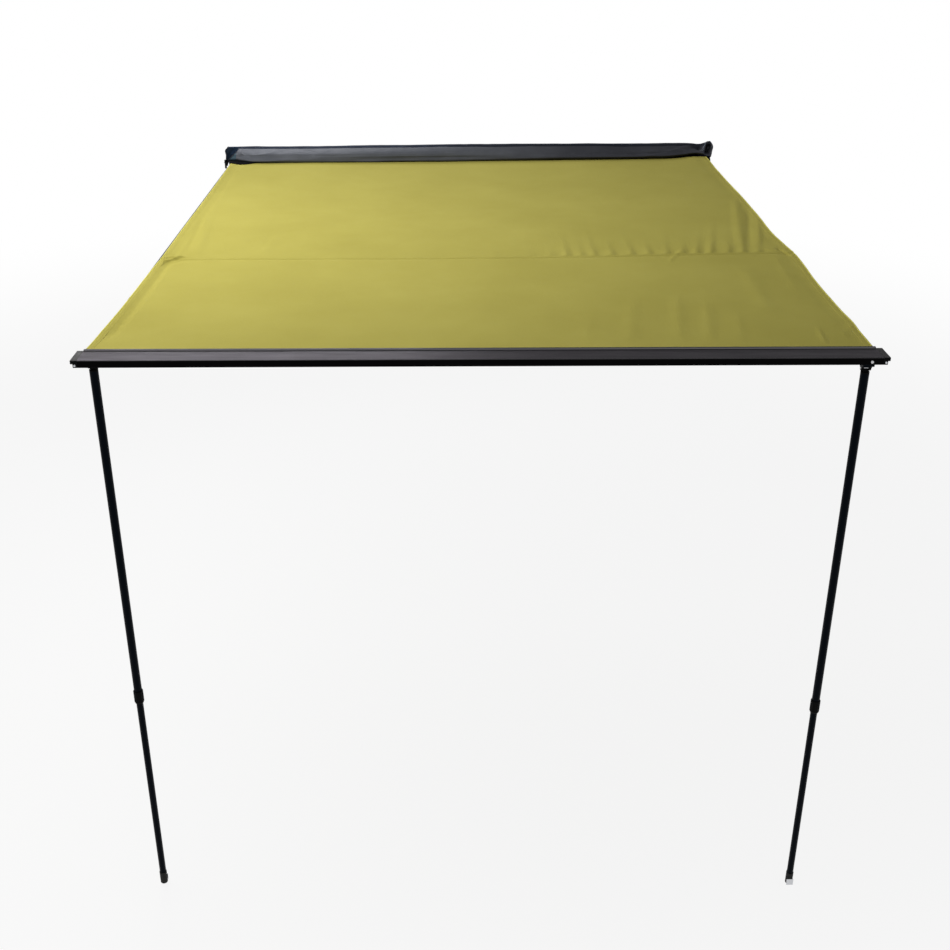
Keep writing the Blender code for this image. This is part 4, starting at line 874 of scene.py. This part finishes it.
def cover_points(stations, count):
    """The shell of the cover, with its dents, creases and slanting ends."""
    rows = np.array([cover_section(x, count) for x in stations])
    x = np.broadcast_to(stations[:, None], rows.shape[:2]).copy()
    y, h = rows[..., 0].copy(), rows[..., 1].copy()
    girth = np.broadcast_to(np.linspace(0, 1, count)[None], x.shape)
    free = eased((girth - 0.10) / 0.25)
    dent = sum(tall * rough(x, girth * drawn, size, seed) for tall, drawn, size, seed in COVER_DENTS)
    for start, end, width, tall in COVER_CREASES:
        dent = dent + fold(x, girth, start, end, width, tall)
    slope_y, slope_h = np.gradient(y, axis=1), np.gradient(h, axis=1)
    size = np.hypot(slope_y, slope_h)
    y += free * dent * slope_h / size
    h -= free * dent * slope_y / size
    # The hollow in the right end, between its front seam and its edge, and the ends' own shapes
    sunk = ramp(x, 0.971, 0.983) * ramp(x, 0.998, 0.988) * ramp(h, 0.022, 0.036) * ramp(h, 0.068, 0.058)
    forward = np.clip((-0.050 - y) / 0.040, 0, 1)
    y += RIGHT_DISH * sunk * forward
    lean = np.where(x < 0, curve(COVER_LEAN[-1], h), curve(COVER_LEAN[1], h))
    x -= np.sign(x) * lean * ramp(np.abs(x) / COVER_END, 0.93, 1.0)
    y += LEFT_TURN * eased((seam_x(h, -1) - x) / 0.030) * forward
    return np.stack([x, y, FABRIC_Z + h], -1)


STATIONS = finely((-COVER_END, -0.90, 0.004), (-0.90, -0.60, 0.008), (-0.60, 0.60, 0.014),
                  (0.60, 0.86, 0.008), (0.86, COVER_END, 0.0035))
GIRTH_POINTS = 44
# End panels: where their middle is as (y, height over the cloth), and how deep it sags and is dented
PANEL_MIDDLE = (-0.050, 0.036)
PANEL_SAG = 0.005
PANEL_DENT = 0.0032
PANEL_DENT_SIZE = 0.022


def end_panel(name, ring, sign):
    """The panel that closes the cover's end, drawn in a little by its own weight."""
    centre = np.array([ring[:, 0].mean(), PANEL_MIDDLE[0], FABRIC_Z + PANEL_MIDDLE[1]])
    rim = np.vstack([ring, np.linspace(ring[-1], ring[0], 8)[1:-1]])
    rings = []
    for share in (1.0, 0.86, 0.68, 0.48, 0.28, 0.12):
        row = centre + (rim - centre) * share
        row[:, 0] -= sign * PANEL_SAG * (1 - share**2)
        row[:, 0] += PANEL_DENT * rough(row[:, 1], row[:, 2], PANEL_DENT_SIZE, 31.0) * (1 - share)
        rings.append(row)
    vertices = np.vstack(rings)
    count = len(rim)
    faces = [list(f) for f in grid_faces(len(rings), count, around=True)]
    faces.append(list(range((len(rings) - 1) * count, len(rings) * count)))
    return thicken(mesh_object(name, vertices, faces, COVER_VINYL, vertices[:, 1:3]), VINYL_THICKNESS)


def seam_cord(points, side):
    """The cord sewn into the seam between the cover's front and its end panel."""
    low, high = COVER_SEAM[side][0][0], COVER_SEAM[side][-1][0]
    path = []
    for column in range(points.shape[1] // 3, points.shape[1] - 1):
        past = side * (points[:, column, 0] - seam_x(points[:, column, 2] - FABRIC_Z, side))
        order = np.argsort(past)
        if past.min() < 0 < past.max():
            place = [np.interp(0.0, past[order], points[order, column, i]) for i in range(3)]
            if low < place[2] - FABRIC_Z < high + 0.002:
                path.append(place)
    name = "left" if side < 0 else "right"
    path = np.array(path) - (0, 0.0007, 0)
    return cord_mesh(f"cover_seam_cord_{name}", path, SEAM_CORD_RADIUS, PIPING if side > 0 else VINYL)


def zip_teeth(name, path):
    """The coil of a zip as a row of small teeth."""
    length = measured(path)
    at = np.arange(TOOTH_GAP, length[-1] - TOOTH_GAP, TOOTH_PITCH)
    centres, *axes = [along_path(at, length, values) for values in (path, *across(path))]
    return blocks(name, centres, axes, TOOTH_HALF, PLASTIC)


def zip_tape(lip):
    """The tape of the cover's zip: slack on the cloth near both ends, where its black also stands in for the
    shadow under the bag's lip, and hanging at both ends.
    """
    x = lip[:, 0]
    inner = lip + TAPE_INNER
    outer = lip + TAPE_OUTER
    slack, tongue = (np.exp(-((x - at) / width) ** 4) for at, width, _ in (ZIP_SLACK, ZIP_TONGUE))
    # The slack black ends, laid forward, also stand in for the shadow under the bag's lip
    outer[:, 1] -= ZIP_SLACK[2] * slack + ZIP_TONGUE[2] * tongue
    resting = canopy_height(x, outer[:, 1] - REAR) + TAPE_LIFT
    outer[:, 2] += (slack + tongue) * (resting - outer[:, 2])
    outer[:, 2] -= RIGHT_DROP * ramp(x, *RIGHT_DROP_AT)
    outer[:, 2] -= LEFT_DROP * ramp(x, *LEFT_DROP_AT) * ramp(x, *LEFT_DROP_END)
    hang = (lip + inner) / 2 - (0, 0, 0.0006)
    rows = np.stack([outer, (outer + lip) / 2, lip, hang, inner], 1)
    return cloth("cover_zip_tape", rows, TAPE_THICKNESS, TAPE)


def build_cover():
    """The upper half of the bag, laid over the back rail: shell, end panels, piping and zip."""
    points = cover_points(STATIONS, GIRTH_POINTS)
    shell = cloth("cover_shell", points, VINYL_THICKNESS, COVER_VINYL)
    parts = []
    for name, ring, sign in (("left", points[0], -1), ("right", points[-1], 1)):
        parts.append(end_panel(f"cover_end_panel_{name}", ring, sign))
        welt = ring[2:] + (sign * 0.0008, 0, 0)
        parts.append(cord_mesh(f"cover_piping_{name}", welt, PIPING_RADIUS, VINYL))
        parts.append(seam_cord(points, sign))
    lip = np.vstack([ZIP_START, points[:, -2]])
    return shell, [*parts, zip_tape(lip), zip_teeth("cover_zip_teeth", lip + (0, 0.002, -0.0013))]


cover, cover_parts = build_cover()
for piece in [cover, *cover_parts]:
    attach(piece, "back_assembly")
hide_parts("cover")

# Lower flap: the share of its height that its groove holds flat, and its folds: how many half waves,
# how deep the large ones, the small ones and the dents are, and how much the folds lift its edge
FLAP_HELD = 0.12
FLAP_WAVES = 9
FLAP_DEPTHS = (0.0050, 0.0022, 0.0030)
FLAP_LIFT = 0.0010
FLAP_COLUMNS = 200
FLAP_ROWS = 26
FLAP_PIPING_RADIUS = 0.0016
# Heights over the flap's lower edge where its zip's tape is sewn on
FLAP_TAPE = (0.012, 0.004, -0.003)


def flap_surface(x, share):
    """The lower half of the bag, hanging from the back rail in shallow folds."""
    top = FLAP_HIGH.z - 0.0016
    large, small, dents = FLAP_DEPTHS
    turn = FLAP_WAVES * math.pi * x / FLAP_HIGH.x
    wave = large * np.sin(turn + 0.5 * np.sin(4.0 * x) + 0.25 * share)
    wave += small * np.sin(23.0 * x + 1.1) + dents * rough(x, share, 0.22, 41.0)
    free = np.clip(share - FLAP_HELD, 0, None) / (1 - FLAP_HELD)
    y = HEM_Y + wave * free**1.2 + 0.0008 * rough(x, share * 0.16, 0.05, 43.0) * eased(share / 0.1)
    z = top + (FLAP_LOW.z - top) * share + FLAP_LIFT * np.sin(turn) * share
    return np.stack([x, y, z], -1)


def build_flap():
    """The lower half of the bag with its zip and piping."""
    x = np.linspace(FLAP_LOW.x, FLAP_HIGH.x, FLAP_COLUMNS)
    points = np.array([flap_surface(x, np.full_like(x, s)) for s in np.linspace(0, 1, FLAP_ROWS)])
    sheet = cloth("cover_flap_cloth", points, VINYL_THICKNESS, VINYL)
    edge = points[-1]
    tape_rows = np.stack([edge + (0, -0.0009, height) for height in FLAP_TAPE])
    parts = [cloth("flap_zip_tape", tape_rows, TAPE_THICKNESS, TAPE),
             zip_teeth("flap_zip_teeth", edge + (0, -0.0012, -0.0030))]
    for name, column in (("left", 0), ("right", -1)):
        parts.append(cord_mesh(f"flap_piping_{name}", points[:, column], FLAP_PIPING_RADIUS, VINYL))
    return sheet, parts


flap, flap_parts = build_flap()
for piece in [flap, *flap_parts]:
    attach(piece, "back_assembly")
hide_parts("cover_lower_flap")

STRAP_THICKNESS = 0.0013
# The strap's half width for each unit of its CAD width
STRAP_HALF = 0.66


def build_pull():
    """The zip's pull: a short doubled strap."""
    low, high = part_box("zip_pull")
    middle = (low + high) / 2
    t = np.linspace(0, 1, 14)
    z = high.z - 0.0004 + (low.z - high.z) * t
    y = middle.y + 0.0003 * np.sin(2.4 * t)
    half = STRAP_HALF * (high.x - low.x)
    columns = [np.stack([np.full_like(t, middle.x + half * s), y, z], 1) for s in (-1, -0.5, 0, 0.5, 1)]
    return cloth("zip_pull_strap", np.stack(columns, 1), STRAP_THICKNESS, TAPE)


pull = build_pull()
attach(pull, "zip_pull")
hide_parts("zip_pull")

# Which finish the CAD nodes take, how wide their edges are rounded, and how their names start; of two
# that fit, the longer start counts
NODE_FINISHES = (
    (PLASTIC, 0.0003, "arm_lock_collar arm_expander leg_lock_collar leg_expander"),
    (PLASTIC, 0.0004, "arm_tip leg_top_plug"),
    (PLASTIC, 0.0005, "back_rail_end_cap leg_knuckle"),
    (PLASTIC, 0.0006, "arm_knuckle"),
    (CAP_PLASTIC_LIT_TOP, 0.0004, "front_rail_end_cap"),
    (ANODISED, 0.0003, "front_rail"),
    (ANODISED_BACK, 0.0003, "back_rail"),
    (COATED, 0.0002, "arm_outer_tube arm_inner_tube leg_upper_tube leg_lower_tube"),
    (COATED, 0.0004, "arm_catch leg_bracket"),
    (COATED, 0.0005, "arm_bracket zip_slider"),
    (STEEL, 0.0002, "end_cap_screw"),
    (STEEL, 0.0003, "arm_pivot_pin leg_fold_pin leg_tilt_pin leg_foot_plate"),
    (STEEL, 0.0004, "mounting_bolt"),
    (MILL, 0.0002, "leg_rivet"),
    (MILL, 0.0005, "mounting_bracket"),
    (RUBBER, 0.0005, "leg_foot"),
)


def dress_nodes():
    """Give each CAD node that still shows its finish, and soften its edges."""
    rows = {start: (finish, width) for finish, width, starts in NODE_FINISHES for start in starts.split()}
    for name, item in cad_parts.items():
        found = [start for start in rows if name.startswith(start)]
        if item.hide_render or not found:
            continue
        finish, width = rows[max(found, key=len)]
        for slot in item.material_slots:
            slot.material = finish
        bevel = item.modifiers.new("soft_edges", "BEVEL")
        bevel.width = width
        bevel.segments = 2
        bevel.limit_method = "ANGLE"
        bevel.angle_limit = math.radians(40)


dress_nodes()


def build_camera():
    """The camera that took the photo."""
    level_part = math.cos(CAMERA_PITCH)
    forward = Vector((math.sin(CAMERA_YAW) * level_part, math.cos(CAMERA_YAW) * level_part,
                      -math.sin(CAMERA_PITCH)))
    level = forward.cross(Vector((0, 0, 1))).normalized()
    over = level.cross(forward)
    right = level * math.cos(CAMERA_ROLL) + over * math.sin(CAMERA_ROLL)
    up = right.cross(forward)
    data = bpy.data.cameras.new("camera")
    data.lens = LENS
    data.sensor_width = SENSOR_WIDTH
    data.clip_end = 200.0
    camera = bpy.data.objects.new("camera", data)
    bpy.context.scene.collection.objects.link(camera)
    turn = Matrix((right, up, -forward)).transposed().to_4x4()
    camera.matrix_world = Matrix.Translation(CAMERA_AT) @ turn
    bpy.context.scene.camera = camera


FLOOR_HALF = 60.0
FLOOR_DROP = 0.001
FLOOR_COLOUR = (0.80, 0.80, 0.80, 1)
# How white the floor looks near the awning, and the distances over which it goes over into pure white
FLOOR_WHITE = 0.88
FLOOR_NEAR = 2.4
FLOOR_FAR = 6.5
SKY_COLOUR = (0.96, 0.98, 1.0, 1)
SKY_STRENGTH = 0.20


def seen_directly(tree):
    """1 for what the camera sees, also in a mirror or through glass."""
    rays = wired(tree, "ShaderNodeLightPath").outputs
    total = rays["Is Camera Ray"]
    for ray in ("Is Glossy Ray", "Is Transmission Ray"):
        total = wired(tree, "ShaderNodeMath", {0: total, 1: rays[ray]}, operation="MAXIMUM").outputs[0]
    return total


def build_floor():
    """A pale floor that keeps the shadow, and goes over into the white background."""
    material = bpy.data.materials.new("pale_floor")
    material.use_nodes = True
    tree = material.node_tree
    tree.nodes.clear()
    matt = wired(tree, "ShaderNodeBsdfDiffuse", {"Color": FLOOR_COLOUR}).outputs[0]
    white = wired(tree, "ShaderNodeEmission", {"Strength": 1.0}).outputs[0]
    place = wired(tree, "ShaderNodeTexCoord").outputs["Object"]
    distance = wired(tree, "ShaderNodeVectorMath", {0: place}, operation="LENGTH").outputs["Value"]
    fade = {"Value": distance, "From Min": FLOOR_NEAR, "From Max": FLOOR_FAR, "To Min": FLOOR_WHITE}
    away = wired(tree, "ShaderNodeMapRange", fade, interpolation_type="SMOOTHSTEP")
    share = wired(tree, "ShaderNodeMath", {0: seen_directly(tree), 1: away.outputs[0]}, operation="MULTIPLY")
    both = wired(tree, "ShaderNodeMixShader", {0: share.outputs[0], 1: matt, 2: white}).outputs[0]
    wired(tree, "ShaderNodeOutputMaterial", {"Surface": both})
    corners = [(x * FLOOR_HALF, y * FLOOR_HALF, GROUND - FLOOR_DROP)
               for x, y in ((-1, -1), (1, -1), (1, 1), (-1, 1))]
    mesh_object("floor", corners, [(0, 1, 2, 3)], material)


def build_world():
    """Soft light from all round, and a white background."""
    world = bpy.data.worlds.new("studio")
    world.use_nodes = True
    tree = world.node_tree
    tree.nodes.clear()
    soft = wired(tree, "ShaderNodeBackground", {"Color": SKY_COLOUR, "Strength": SKY_STRENGTH}).outputs[0]
    white = wired(tree, "ShaderNodeBackground", {"Strength": 1.0}).outputs[0]
    both = wired(tree, "ShaderNodeMixShader", {0: seen_directly(tree), 1: soft, 2: white}).outputs[0]
    wired(tree, "ShaderNodeOutputWorld", {"Surface": both})
    bpy.context.scene.world = world


def softbox(name, at, towards, size, power, colour):
    """A rectangular lamp that doesn't show itself."""
    data = bpy.data.lights.new(name, "AREA")
    data.shape = "RECTANGLE"
    data.size, data.size_y = size
    data.energy = power
    data.color = colour
    lamp = bpy.data.objects.new(name, data)
    bpy.context.scene.collection.objects.link(lamp)
    lamp.location = at
    lamp.rotation_euler = (Vector(towards) - Vector(at)).to_track_quat("-Z", "Y").to_euler()
    lamp.visible_camera = False


build_camera()
build_floor()
build_world()
softbox("key_light", at=(-1.24, -1.40, 1.62), towards=(-0.45, -1.7, 0.0), size=(2.0, 2.0), power=53.0,
        colour=(1.0, 0.99, 0.96))
softbox("left_back_light", at=(-1.20, 1.3, 1.30), towards=(-0.4, -2.4, 0.0), size=(2.2, 0.8), power=34.0,
        colour=(0.98, 0.98, 1.0))
bpy.context.scene.view_settings.view_transform = "Standard"
